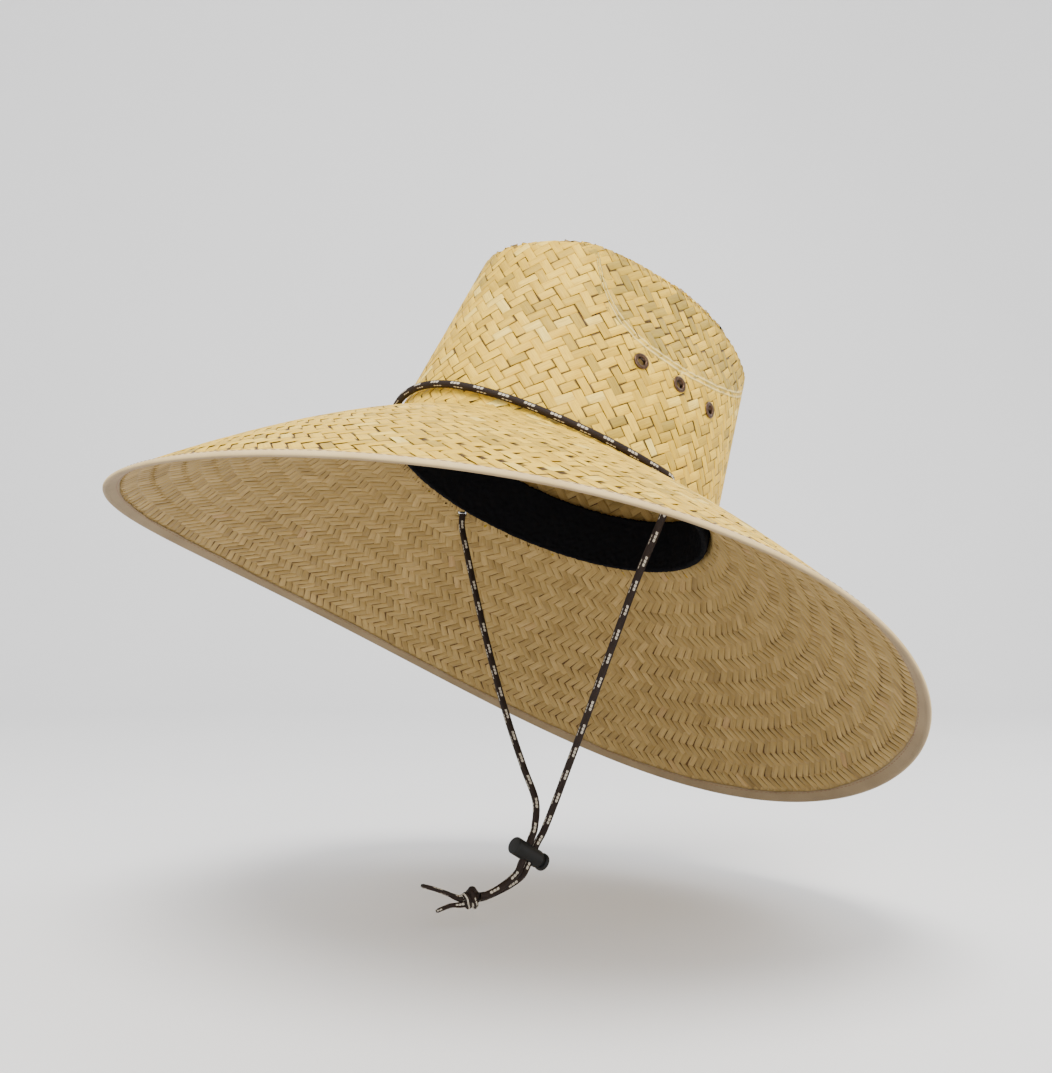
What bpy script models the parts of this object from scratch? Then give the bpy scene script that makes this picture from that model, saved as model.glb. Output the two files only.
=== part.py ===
# Woven palm-straw sun hat with a chin cord, metres, +Z up.
# The origin is the middle of the head opening, where the crown meets the brim. The hat is worn
# tipped back, so its pieces are built level and hang from an empty that holds the tilt.
# The front of the hat looks along -Y, and the wearer's left is +X.
# Angles round the hat run from 0 at the front, through 90 on the left, to 180 at the back.

import bpy
import bmesh
import numpy as np
from math import sin, cos, radians, degrees, pi
from mathutils import Matrix, Vector
from mathutils.bvhtree import BVHTree

# Driving sizes, in metres unless a comment says degrees or share

straw_wall = 0.0014
piece_gap = 0.0004
round_steps = 50              # columns round the hat
sharp_angle = 40.0            # degrees, edges bent more than this are shaded sharp
weld_distance = 0.00001
probe_distance = 0.05         # how far off the straw a ray starts when a piece is seated on it

wear_tilt = 23.0              # degrees that the hat is tipped back

crown_half_length = 0.101     # outside of the crown at the brim
crown_half_width = 0.085
crown_height = 0.118
crown_front_dip = 0.006       # how much lower the top's rim is at the front
crown_side_rise = 0.005       # how much higher it is at the sides
crown_length_taper = 0.078    # metres lost from the half length for each metre of height
crown_width_taper = 0.144
crown_lean = 0.062            # metres that the crown leans back for each metre of height
crown_top_radius = 0.005
crown_top_sink = 0.016
dent_rim_room = 1.3           # in top radii, the least distance from the dent's edge to the top
top_slope_share = 0.45        # share of the top that slopes down to the sunk middle

dent_angle = 84.0             # degrees, the lowest point of the dent's edge
dent_low = 0.0655             # height of the dent's edge there
dent_depth = 0.008
dent_front_span = 40.0        # degrees
dent_back_span = 58.0
dent_front_rise = 0.048
dent_back_rise = 0.039
dent_front_curve = 3.0        # power of the edge's rise towards each end
dent_back_curve = 1.6

brim_front_reach = 0.1186     # from the crown to the brim's edge, seen from above
brim_back_reach = 0.1240
brim_side_reach = 0.1339
brim_drop = 0.0864            # mean drop of the edge below the crown's foot
brim_end_droop = 0.0158       # how much lower the front and back hang, and the sides ride higher
brim_front_lift = 0.0029
brim_bulge = 0.18             # share, how much the brim rounds over before it drops
brim_front_bulge = 0.08
foot_round = 0.0055           # how far the bend between crown and brim runs each way

tape_width = 0.0085
tape_thickness = 0.0010
tape_corner = 0.4             # share of the tape's thickness taken by its rounded edge

band_height = 0.030
band_thickness = 0.0032
band_hang = 0.0035            # how far the sweatband shows below the crown's foot

eyelet_angles = (72.0, 88.0, 105.0)
eyelet_heights = (0.057, 0.058, 0.059)
eyelet_names = ("front", "middle", "back")
eyelet_flange_radius = 0.0046
eyelet_barrel_radius = 0.0030
eyelet_bore_radius = 0.0024
eyelet_flange_thickness = 0.0007
eyelet_lip = 0.88             # share of the flange's radius that is flat
eyelet_steps = 10

cord_diameter = 0.0040
cord_hole_out = 0.0045        # from the crown's foot to the middle of the brim's cord hole
cord_hole_back = 0.0030
cord_hole_radius = 0.0028
cord_band_low = 0.0022        # height of the cord's middle over the crown's foot
cord_band_rise = 0.0083
cord_band_curve = 4           # power of the cosine that carries it up to the front
cord_slack = 0.0005           # how far the cord stands off the straw, past its own gap
cord_slide = (40.0, 65.0)     # degrees, where the cord leaves the crown and lies out on the brim
cord_slide_out = 0.0030
cord_slide_down = 0.0020
cord_side_angle = 80          # degrees, where the stretch round the front turns to its holes
cord_arch_rise = 0.90         # in cord diameters, the arch over the hole, then its lead forward
cord_arch_lead = 0.60
cord_arch_drop = 0.35         # in cord diameters, where the cord stands plumb over the hole
band_cord_spacing = 1.5 * cord_diameter
strand_spacing = 2.7 * cord_diameter
hole_steps = 12

lock_centre = Vector((0.0, -0.0177, -0.198))
lock_lean = 30.5              # degrees that the lock's axis points down at its button
lock_radius = 0.0048
lock_wall = 0.0010
lock_floor = 0.0012
lock_spring_room = 0.0051     # space under the plunger at rest
lock_travel = 0.0020          # how far the button can be pressed
plunger_clearance = 0.0004
plunger_web = 0.0010          # plunger's solid foot under its slot
slot_clearance = 0.0005
button_radius = 0.0048
button_thickness = 0.0028
lock_rounding = 0.22          # share of the lock's radius
lock_steps = 18
lock_run = (-0.0150, -0.0075, 0.0, 0.0065)     # places along the way through the lock
lock_spread = 0.0016          # how far apart sideways the strands start that run

knot_radius = 0.0042
knot_half_length = 0.0048
knot_wraps = 1.2
knot_steps = 14
wrap_steps = 18
wrap_radius = 0.8 * knot_radius
wrap_spacing = 0.8 * cord_diameter
cut_end_run = 0.4             # in cord diameters, each cut end's straight start

# Cord routes, chosen by hand, metres in the worn position. The tail is the line that both strands
# follow below the lock, and its twist is how far the pair has turned round that line, in degrees.

strand_routes = {
    "left": [
        (0.0880, 0.0012, -0.0130),
        (0.0808, 0.0001, -0.0270),
        (0.0672, -0.0014, -0.0520),
        (0.0535, -0.0026, -0.0800),
        (0.0409, -0.0039, -0.1060),
        (0.0289, -0.0051, -0.1310),
        (0.0178, -0.0064, -0.1540),
        (0.0094, -0.0075, -0.1715),
    ],
    "right": [
        (-0.0884, 0.0012, -0.0130),
        (-0.0824, 0.0001, -0.0270),
        (-0.0716, -0.0014, -0.0520),
        (-0.0592, -0.0026, -0.0800),
        (-0.0464, -0.0039, -0.1060),
        (-0.0328, -0.0051, -0.1310),
        (-0.0182, -0.0064, -0.1540),
        (-0.0064, -0.0075, -0.1710),
    ],
}
tail_route = [
    (-0.0008, -0.0232, -0.2080),
    (-0.0020, -0.0285, -0.2118),
    (-0.0036, -0.0360, -0.2153),
    (-0.0054, -0.0425, -0.2176),
]
tail_twist = (-18.0, -38.0, -54.0, -62.0)
tail_spread = 1.14            # share by which the pair stands further apart in the tail
knot_centre = Vector((-0.0080, -0.0512, -0.2186))
cut_end_routes = {
    "cut_end_long": [(-0.0104, -0.0650, -0.2140), (-0.0116, -0.0720, -0.2110),
                     (-0.0126, -0.0792, -0.2085)],
    "cut_end_short": [(-0.0098, -0.0625, -0.2206), (-0.0102, -0.0670, -0.2214),
                      (-0.0104, -0.0712, -0.2223)],
}

# Rows of the straw, as shares

top_rows = (0.30, 0.58, 0.80, 0.92)             # from the middle of the top to its rim
corner_rows = (90.0, 55.0, 25.0)                # degrees round the top's rounded rim
dent_rows = (1.0, 0.72, 0.45, 0.22, 0.07)       # from the rim down to the dent's edge
wall_rows = (1.0, 0.78, 0.50, 0.24)             # from the dent's edge down to the foot's bend
foot_rows = (0.0, 0.3, 0.55, 0.8, 1.0)          # round the bend between crown and brim
brim_rows = (0.16, 0.34, 0.54, 0.74)            # from the crown to the edge tape


for old in list(bpy.data.objects):
    bpy.data.objects.remove(old, do_unlink=True)

hat = bpy.data.collections.new("straw_hat")
cutters = bpy.data.collections.new("cutters")
bpy.context.scene.collection.children.link(hat)
bpy.context.scene.collection.children.link(cutters)


def make_material(name, color, roughness, metallic=0.0):
    material = bpy.data.materials.new(name)
    material.use_nodes = True
    shader = material.node_tree.nodes["Principled BSDF"]
    shader.inputs["Base Color"].default_value = (*color, 1.0)
    shader.inputs["Roughness"].default_value = roughness
    shader.inputs["Metallic"].default_value = metallic
    return material


def add_object(name, mesh, material=None, collection=hat, parent=None):
    item = bpy.data.objects.new(name, mesh)
    collection.objects.link(item)
    item.parent = parent
    mesh.shade_smooth()
    mesh.set_sharp_from_angle(angle=radians(sharp_angle))
    if material:
        mesh.materials.append(material)
    if collection is cutters:
        item.hide_render = True
        item.display_type = "WIRE"
    return item


def mesh_from_bmesh(name, shape):
    mesh = bpy.data.meshes.new(name)
    shape.to_mesh(mesh)
    shape.free()
    return mesh


def cut(target, cutter, operation="DIFFERENCE"):
    modifier = target.modifiers.new(cutter.name, "BOOLEAN")
    modifier.operation = operation
    modifier.solver = "EXACT"
    modifier.object = cutter


# Shape of the straw: the crown's plan, its dents and the brim, as functions of angle and height

def plan_normal(angle):
    """Outward direction of the crown's oval, seen from above."""
    return Vector((sin(angle) / crown_half_width, -cos(angle) / crown_half_length, 0)).normalized()


def crown_wall(angle, height):
    """Outer face of the crown without its dents."""
    half_width = crown_half_width - crown_width_taper * height
    half_length = crown_half_length - crown_length_taper * height
    return Vector((half_width * sin(angle), crown_lean * height - half_length * cos(angle), height))


def rim_height(angle):
    front_dip = crown_front_dip * ((1 + cos(angle)) / 2) ** 8
    return crown_height + crown_side_rise * sin(angle) ** 2 - front_dip


def dent_share(angle):
    """Place along the dent: -1 at its front end, 0 at its lowest point and 1 at its back end."""
    away = degrees(abs(angle)) - dent_angle
    return away / (dent_front_span if away < 0 else dent_back_span)


def dent_edge(angle):
    share = dent_share(angle)
    if share < 0:
        rise = dent_front_rise * abs(share) ** dent_front_curve
    else:
        rise = dent_back_rise * share ** dent_back_curve
    return min(dent_low + rise, rim_height(angle) - dent_rim_room * crown_top_radius)


def dent_inset(angle):
    return dent_depth * max(0.0, 1 - dent_share(angle) ** 2)


def brim_edge(angle):
    end_reach = brim_front_reach if cos(angle) > 0 else brim_back_reach
    x = (crown_half_width + brim_side_reach) * sin(angle)
    y = -(crown_half_length + end_reach) * cos(angle)
    z = brim_front_lift * cos(angle) - brim_drop - brim_end_droop * cos(2 * angle)
    return Vector((x, y, z))


def brim_point(angle, share):
    bulge = brim_bulge + brim_front_bulge * cos(angle)
    foot = crown_wall(angle, 0)
    edge = brim_edge(angle)
    spot = foot.lerp(edge, share)
    spot.z = edge.z * (share - bulge * share * (1 - share))
    return spot


def brim_share(angle, distance, from_edge=False):
    """Share of the brim that lies a distance from the crown, or from the edge."""
    width = (brim_edge(angle) - crown_wall(angle, 0)).length
    return 1 - distance / width if from_edge else distance / width


def straw_column(angle):
    """One line of points down the straw's outer face, from the top's middle to the brim's edge."""
    outward = plan_normal(angle)
    rim = rim_height(angle)
    wall_top = rim - crown_top_radius
    edge = dent_edge(angle)
    inset = dent_inset(angle)
    corner_foot = crown_wall(angle, wall_top) - outward * inset
    top_rim = corner_foot - outward * crown_top_radius
    middle = Vector((0, crown_lean * rim, 0))
    points = []
    for share in top_rows:
        spot = middle.lerp(top_rim, share)
        slope = min(1.0, (1 - share) / top_slope_share)
        spot.z = crown_height + (rim - crown_height) * share - crown_top_sink * (1 - cos(pi * slope)) / 2
        points.append(spot)
    for turn in corner_rows:
        turn = radians(turn)
        lift = Vector((0, 0, crown_top_radius * sin(turn)))
        points.append(corner_foot - outward * crown_top_radius * (1 - cos(turn)) + lift)
    for share in dent_rows:
        height = edge + (wall_top - edge) * share
        points.append(crown_wall(angle, height) - outward * inset * sin(pi / 2 * share))
    for share in wall_rows:
        height = foot_round + (edge - foot_round) * share
        points.append(crown_wall(angle, height))
    bend_start = crown_wall(angle, foot_round)
    bend_middle = crown_wall(angle, 0)
    bend_end = brim_point(angle, brim_share(angle, foot_round))
    for share in foot_rows:
        first = bend_start.lerp(bend_middle, share)
        last = bend_middle.lerp(bend_end, share)
        points.append(first.lerp(last, share))
    tape_start = brim_share(angle, tape_width, from_edge=True)
    for share in (*brim_rows, tape_start, 1.0):
        points.append(brim_point(angle, share))
    return points


def ring_loft(name, columns, closed_section, pole=None):
    """Skin a ring of columns of points. A closed section gives a ring like a tube."""
    shape = bmesh.new()
    grid = [[shape.verts.new(point) for point in column] for column in columns]
    rows = len(grid[0])
    for index, column in enumerate(grid):
        following = grid[(index + 1) % len(grid)]
        for row in range(rows if closed_section else rows - 1):
            below = (row + 1) % rows
            shape.faces.new((column[row], column[below], following[below], following[row]))
    if pole is not None:
        centre = shape.verts.new(pole)
        for index, column in enumerate(grid):
            shape.faces.new((centre, column[0], grid[(index + 1) % len(grid)][0]))
    bmesh.ops.recalc_face_normals(shape, faces=shape.faces)
    return mesh_from_bmesh(name, shape)


def turned(name, outline, steps, material):
    """A closed outline of radius and height pairs, turned round Z."""
    shape = bmesh.new()
    spots = [shape.verts.new((radius, 0, height)) for radius, height in outline]
    for start, end in zip(spots, spots[1:] + spots[:1]):
        if max(start.co.x, end.co.x) > 0:
            shape.edges.new((start, end))
    item = add_object(name, mesh_from_bmesh(name, shape), material)
    turn = item.modifiers.new("turn", "SCREW")
    turn.steps = steps
    turn.render_steps = steps
    turn.use_merge_vertices = True
    turn.merge_threshold = weld_distance
    weld = item.modifiers.new("close_axis", "WELD")
    weld.merge_threshold = weld_distance
    return item


def round_cutter(name, radius, depth, parent=None):
    shape = bmesh.new()
    bmesh.ops.create_cone(shape, cap_ends=True, segments=hole_steps, depth=depth, radius1=radius,
                          radius2=radius)
    return add_object(name, mesh_from_bmesh(name, shape), None, cutters, parent)


def smooth_route(points, spacing):
    """Even steps along a smooth curve through the route's own points, which keeps both end runs."""
    knots = np.array([tuple(point) for point in points])
    ends = np.vstack([2 * knots[0] - knots[1], knots, 2 * knots[-1] - knots[-2]])
    fine = []
    fine_steps = 16
    steps = np.linspace(0, 1, fine_steps, endpoint=False)[:, None]
    for before, start, end, after in zip(ends[:-3], ends[1:-2], ends[2:-1], ends[3:]):
        bend = 2 * before - 5 * start + 4 * end - after
        twist = 3 * (start - end) + after - before
        fine.append(start + 0.5 * ((end - before) * steps + bend * steps ** 2 + twist * steps ** 3))
    fine = np.vstack(fine + [knots[-1:]])
    along = np.concatenate([[0], np.cumsum(np.linalg.norm(np.diff(fine, axis=0), axis=1))])
    first, last = along[fine_steps], along[-1 - fine_steps]
    count = max(2, round((last - first) / spacing) + 1)
    even = np.concatenate([[0], np.linspace(first, last, count), along[-1:]])
    return np.column_stack([np.interp(even, along, fine[:, axis]) for axis in range(3)])


def cord_tube(name, points, spacing, parent=None):
    curve = bpy.data.curves.new(name, "CURVE")
    curve.dimensions = "3D"
    curve.bevel_depth = cord_diameter / 2
    curve.bevel_resolution = 2
    curve.use_fill_caps = True
    spline = curve.splines.new("POLY")
    spots = smooth_route(points, spacing)
    spline.points.add(len(spots) - 1)
    spline.points.foreach_set("co", np.column_stack([spots, np.ones(len(spots))]).ravel())
    spline.use_smooth = True
    curve.materials.append(cord_material)
    item = bpy.data.objects.new(name, curve)
    hat.objects.link(item)
    item.parent = parent
    return item


straw_material = make_material("woven_palm_straw", (0.62, 0.46, 0.24), 0.62)
tape_material = make_material("edge_tape", (0.58, 0.46, 0.28), 0.80)
terry_material = make_material("black_terry", (0.012, 0.012, 0.014), 0.95)
eyelet_material = make_material("dark_bronze", (0.10, 0.06, 0.035), 0.42, 0.85)
cord_material = make_material("braided_cord", (0.030, 0.018, 0.014), 0.78)
lock_material = make_material("black_plastic", (0.012, 0.013, 0.014), 0.50)

worn = bpy.data.objects.new("worn_tilt", None)
worn.rotation_euler.x = -radians(wear_tilt)
hat.objects.link(worn)
worn_matrix = Matrix.Rotation(-radians(wear_tilt), 4, "X")
angles = [2 * pi * (step + 0.5) / round_steps - pi for step in range(round_steps)]


# Straw crown and brim: one sheet of weave, in two walls that meet just above the bend between them

crown_rows = len(top_rows) + len(corner_rows) + len(dent_rows) + len(wall_rows)


def straw_wall_piece(name, columns, middle=None):
    """One wall of straw with its outer face on the columns, and a tree to find places on that face."""
    mesh = ring_loft(name, columns, False, middle)
    item = add_object(name, mesh, straw_material, parent=worn)
    wall = item.modifiers.new("wall", "SOLIDIFY")
    wall.thickness = straw_wall
    wall.offset = -1
    wall.use_even_offset = True
    face = BVHTree.FromPolygons([v.co.copy() for v in mesh.vertices],
                                [tuple(p.vertices) for p in mesh.polygons])
    return item, face


straw_columns = [straw_column(angle) for angle in angles]
crown_columns = []
brim_columns = []
for angle, column in zip(angles, straw_columns):
    crown_foot = crown_wall(angle, foot_round + piece_gap)
    crown_columns.append(column[:crown_rows] + [crown_foot])
    brim_columns.append(column[crown_rows:])
top_middle = Vector((0, crown_lean * crown_height, crown_height - crown_top_sink))
crown, crown_face = straw_wall_piece("straw_crown", crown_columns, top_middle)
brim, brim_face = straw_wall_piece("straw_brim", brim_columns)


def seat_on_crown(angle, height):
    """Place on the crown's outer face, with Z along the way out."""
    outward = plan_normal(angle)
    start = crown_wall(angle, height) + outward * probe_distance
    spot, normal, _, _ = crown_face.ray_cast(start, -outward)
    if normal.dot(outward) < 0:
        normal = -normal
    return Matrix.Translation(spot) @ normal.to_track_quat("Z", "X").to_matrix().to_4x4()


# Edge tape, folded over the brim's edge

def tape_columns():
    columns = []
    count = len(straw_columns)
    inner = piece_gap
    outer = piece_gap + tape_thickness
    under = straw_wall + piece_gap
    corner = tape_corner * outer
    section = ((-tape_width, outer), (corner, outer), (outer, corner),
               (outer, -under - tape_corner * tape_thickness), (corner, -under - tape_thickness),
               (-tape_width, -under - tape_thickness), (-tape_width, -under), (inner, -under),
               (inner, inner), (-tape_width, inner))
    for index, column in enumerate(straw_columns):
        outward = (column[-1] - column[-2]).normalized()
        following = straw_columns[(index + 1) % count][-1]
        along = (following - straw_columns[index - 1][-1]).normalized()
        upward = outward.cross(along).normalized()
        if upward.z < 0:
            upward = -upward
        columns.append([column[-1] + outward * out + upward * up for out, up in section])
    return columns


add_object("edge_tape", ring_loft("edge_tape", tape_columns(), True), tape_material, parent=worn)


# Terry sweatband inside the crown's foot

def band_columns():
    columns = []
    round_off = 0.3 * band_thickness
    section = ((0, band_height - round_off), (round_off, band_height),
               (band_thickness - round_off, band_height), (band_thickness, band_height - round_off),
               (band_thickness, round_off - band_hang), (band_thickness - round_off, -band_hang),
               (round_off, -band_hang), (0, round_off - band_hang))
    for angle in angles:
        outward = plan_normal(angle)
        columns.append([crown_wall(angle, max(height, 0)) + Vector((0, 0, min(height, 0)))
                        - outward * (straw_wall + piece_gap + depth) for depth, height in section])
    return columns


add_object("sweatband", ring_loft("sweatband", band_columns(), True), terry_material, parent=worn)


# Eyelets, three on each side of the crown, each through its own hole

eyelet_back = straw_wall + piece_gap
eyelet_outline = (
    (eyelet_bore_radius, piece_gap + eyelet_flange_thickness),
    (eyelet_lip * eyelet_flange_radius, piece_gap + eyelet_flange_thickness),
    (eyelet_flange_radius, piece_gap),
    (eyelet_barrel_radius, piece_gap),
    (eyelet_barrel_radius, -eyelet_back),
    (eyelet_lip * eyelet_flange_radius, -eyelet_back),
    (eyelet_lip * eyelet_flange_radius, -eyelet_back - eyelet_flange_thickness),
    (eyelet_bore_radius, -eyelet_back - eyelet_flange_thickness),
)
for side, sign in (("left", 1), ("right", -1)):
    for place, angle, height in zip(eyelet_names, eyelet_angles, eyelet_heights):
        seat = seat_on_crown(sign * radians(angle), height)
        name = f"eyelet_{side}_{place}"
        eyelet = turned(name, eyelet_outline, eyelet_steps, eyelet_material)
        eyelet.parent = worn
        eyelet.matrix_local = seat
        hole = round_cutter(name + "_hole", eyelet_barrel_radius + piece_gap, 6 * straw_wall, worn)
        hole.matrix_local = seat
        cut(crown, hole)


# Cord holes in the brim, one beside each ear

def cord_hole_spot(sign):
    """Middle of the brim's cord hole on its outer face, before the hat is tipped."""
    x = sign * (crown_half_width + cord_hole_out)
    start = Vector((x, cord_hole_back, probe_distance))
    spot, _, _, _ = brim_face.ray_cast(start, Vector((0, 0, -1)))
    return spot


for side, sign in (("left", 1), ("right", -1)):
    hole = round_cutter(f"cord_hole_{side}", cord_hole_radius, 8 * straw_wall, worn)
    hole.location = cord_hole_spot(sign)
    hole.rotation_euler.x = radians(wear_tilt)
    cut(brim, hole)


# Chin cord: the stretch round the front of the crown, then the two strands

plumb = worn_matrix.inverted().to_3x3() @ Vector((0, 0, -1))      # straight down, in the level hat


def band_cord_points():
    stand_off = cord_diameter / 2 + piece_gap + cord_slack
    points = []
    for turn in range(-cord_side_angle, cord_side_angle + 1, 10):
        angle = radians(turn)
        slide = min(1.0, max(0.0, (abs(turn) - cord_slide[0]) / (cord_slide[1] - cord_slide[0])))
        height = cord_band_low + cord_band_rise * cos(angle) ** cord_band_curve - slide * cord_slide_down
        away = stand_off + slide * cord_slide_out
        points.append(crown_wall(angle, height) + plan_normal(angle) * away)
    for sign in (-1, 1):
        hole_spot = cord_hole_spot(sign)
        arch = hole_spot - plumb * cord_arch_rise * cord_diameter
        arch.y -= cord_arch_lead * cord_diameter
        inside = hole_spot + plumb * straw_wall / 2
        descent = [arch, hole_spot - plumb * cord_arch_drop * cord_diameter, inside]
        points = points + descent if sign > 0 else descent[::-1] + points
    return points


half_pair = cord_diameter / 2 + piece_gap / 2
lock_axis = Vector((0, cos(radians(lock_lean)), -sin(radians(lock_lean))))
lock_through = Vector((0, lock_axis.z, -lock_axis.y))
knot_axis = (knot_centre - Vector(tail_route[-1])).normalized()


def pair_side(way, twist=0.0):
    """Direction across the pair of strands, square to their way and turned round it."""
    return Matrix.Rotation(radians(twist), 3, way) @ Vector((1, 0, 0)).cross(way).normalized()


knot_side = pair_side(knot_axis)


def strand_points(side, sign):
    """Route of one strand: out of the brim's hole, down to the lock, through it, on to the knot."""
    across = sign * half_pair
    start = worn_matrix @ (cord_hole_spot(sign) + plumb * (straw_wall / 2 + piece_gap))
    points = [start, start + Vector((0, 0, -0.5 * cord_diameter))]
    points += [Vector(spot) for spot in strand_routes[side]]
    for distance in lock_run:
        lean = sign * lock_spread * (min(0.0, distance) / lock_run[0]) ** 2
        points.append(lock_centre + lock_through * distance + lock_axis * across
                      + Vector((lean, 0, 0)))
    tail = [lock_centre, *(Vector(spot) for spot in tail_route), knot_centre]
    for before, spot, ahead, twist in zip(tail, tail[1:], tail[2:], tail_twist):
        points.append(spot + pair_side(ahead - before, twist) * across * tail_spread)
    knot_start = knot_centre - knot_axis * (knot_half_length + piece_gap)
    points.append(knot_start + pair_side(knot_axis, tail_twist[-1]) * across)
    return points


cord_tube("band_cord", band_cord_points(), band_cord_spacing, worn)
cord_tube("chin_cord_left", strand_points("left", 1), strand_spacing)
cord_tube("chin_cord_right", strand_points("right", -1), strand_spacing)


# Cord lock: a barrel with a sprung plunger, both slotted for the two strands

slot_half_length = half_pair + cord_diameter / 2 + slot_clearance
slot_half_width = cord_diameter / 2 + slot_clearance
plunger_foot = -slot_half_length - plunger_web
bore_floor = plunger_foot - lock_spring_room
bore_radius = lock_radius - lock_wall
barrel_mouth = slot_half_length + lock_travel + slot_clearance
button_foot = barrel_mouth + lock_travel + piece_gap
plunger_radius = bore_radius - plunger_clearance
lock_matrix = Matrix.Translation(lock_centre) @ lock_axis.to_track_quat("Z", "Y").to_matrix().to_4x4()


def slot_cutter(name, low, high):
    """Round-ended bar across the lock, from low to high along its axis."""
    shape = bmesh.new()
    for middle in (low + slot_half_width, high - slot_half_width):
        for side in (-2 * lock_radius, 2 * lock_radius):
            for turn in np.arange(16) * pi / 8:
                spot = (slot_half_width * cos(turn), side, middle + slot_half_width * sin(turn))
                shape.verts.new(spot)
    hull = bmesh.ops.convex_hull(shape, input=shape.verts)
    bmesh.ops.delete(shape, geom=hull["geom_interior"], context="VERTS")
    bmesh.ops.recalc_face_normals(shape, faces=shape.faces)
    cutter = add_object(name, mesh_from_bmesh(name, shape), None, cutters)
    cutter.matrix_world = lock_matrix
    return cutter


rounding = lock_rounding * lock_radius
barrel = turned("lock_barrel", (
    (0, bore_floor),
    (bore_radius, bore_floor),
    (bore_radius, barrel_mouth),
    (lock_radius - rounding / 2, barrel_mouth),
    (lock_radius, barrel_mouth - rounding / 2),
    (lock_radius, bore_floor - lock_floor + rounding),
    (lock_radius - rounding, bore_floor - lock_floor),
    (0, bore_floor - lock_floor),
), lock_steps, lock_material)
barrel.matrix_world = lock_matrix
cut(barrel, slot_cutter("barrel_slot", -slot_half_length, slot_half_length))

button = turned("lock_button", (
    (0, button_foot + button_thickness),
    (button_radius - rounding, button_foot + button_thickness),
    (button_radius, button_foot + button_thickness - rounding),
    (button_radius, button_foot + rounding / 2),
    (button_radius - rounding / 2, button_foot),
    (plunger_radius, button_foot),
    (plunger_radius, plunger_foot),
    (0, plunger_foot),
), lock_steps, lock_material)
button.matrix_world = lock_matrix
cut(button, slot_cutter("button_slot", -slot_half_length, slot_half_length + lock_travel))


# End knot: a short core with the cord wrapped round it

def mesh_of_curve(item):
    """Turn a curve object into a mesh object with its caps welded on."""
    shape = bmesh.new()
    bpy.context.view_layer.update()
    evaluated = item.evaluated_get(bpy.context.evaluated_depsgraph_get())
    mesh = bpy.data.meshes.new_from_object(evaluated)
    shape.from_mesh(mesh)
    bmesh.ops.remove_doubles(shape, verts=shape.verts, dist=weld_distance)
    bmesh.ops.recalc_face_normals(shape, faces=shape.faces)
    shape.to_mesh(mesh)
    shape.free()
    name = item.name
    matrix = item.matrix_world.copy()
    bpy.data.objects.remove(item)
    solid = add_object(name, mesh, None, cutters)
    solid.matrix_world = matrix
    return solid


knot_matrix = Matrix.Translation(knot_centre) @ knot_axis.to_track_quat("Z", "X").to_matrix().to_4x4()
core_shape = bmesh.new()
bmesh.ops.create_cone(core_shape, cap_ends=True, segments=knot_steps, depth=2 * knot_half_length,
                      radius1=knot_radius, radius2=knot_radius)
knot = add_object("end_knot", mesh_from_bmesh("end_knot", core_shape), cord_material)
knot.matrix_world = knot_matrix
wrap_turns = np.linspace(0, 2 * pi * knot_wraps, wrap_steps)
wrap_rise = (wrap_turns / wrap_turns[-1] - 0.5) * (2 * knot_half_length - cord_diameter)
wrap_points = [Vector((wrap_radius * cos(turn), wrap_radius * sin(turn), rise))
               for turn, rise in zip(wrap_turns, wrap_rise)]
wrap = cord_tube("knot_wrap", wrap_points, wrap_spacing)
wrap.matrix_world = knot_matrix
cut(knot, mesh_of_curve(wrap), "UNION")

for (name, route), across in zip(cut_end_routes.items(), (-half_pair, half_pair)):
    root = knot_centre + knot_axis * (knot_half_length + piece_gap) + knot_side * across
    clear = root + knot_axis * cut_end_run * cord_diameter
    cord_tube(name, [root, clear, *map(Vector, route)], cord_diameter)
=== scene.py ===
import bmesh
import bpy
import numpy as np
from math import cos, pi, radians, sin
from mathutils import Matrix, Vector


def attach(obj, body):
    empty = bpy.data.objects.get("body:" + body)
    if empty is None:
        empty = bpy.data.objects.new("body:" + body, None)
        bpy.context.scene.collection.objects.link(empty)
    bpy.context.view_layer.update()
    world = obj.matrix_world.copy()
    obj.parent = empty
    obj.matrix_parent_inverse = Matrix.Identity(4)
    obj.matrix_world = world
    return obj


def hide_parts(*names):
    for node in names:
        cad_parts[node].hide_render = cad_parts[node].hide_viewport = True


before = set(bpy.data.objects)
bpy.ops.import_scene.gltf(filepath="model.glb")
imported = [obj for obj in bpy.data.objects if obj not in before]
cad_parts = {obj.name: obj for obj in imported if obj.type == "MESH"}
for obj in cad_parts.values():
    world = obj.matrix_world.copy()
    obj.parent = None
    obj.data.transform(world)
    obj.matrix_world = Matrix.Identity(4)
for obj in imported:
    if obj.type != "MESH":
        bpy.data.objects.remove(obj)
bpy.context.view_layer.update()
chance = np.random.default_rng(41)


# Camera, as far from the hat and as low as in the photograph

photoView = {
    "place": (0.4921, -0.4238, -0.0753),
    "turn": (radians(94.5), 0.0, radians(50.6)),
    "lens": 38.69,                      # mm on a 36 mm frame
}
cameraData = bpy.data.cameras.new("photoCamera")
cameraData.lens = photoView["lens"]
cameraData.sensor_width = 36.0
cameraData.clip_start = 0.01
camera = bpy.data.objects.new("photoCamera", cameraData)
camera.location = photoView["place"]
camera.rotation_euler = photoView["turn"]
bpy.context.scene.collection.objects.link(camera)
bpy.context.scene.camera = camera


# Small helpers for meshes and materials

def placed(name, data):
    item = bpy.data.objects.new(name, data)
    bpy.context.scene.collection.objects.link(item)
    return item


def bmeshItem(name, shape, *materials):
    # An object from an edit mesh, which is freed
    mesh = bpy.data.meshes.new(name)
    shape.to_mesh(mesh)
    shape.free()
    for material in materials:
        mesh.materials.append(material)
    return placed(name, mesh)


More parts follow.
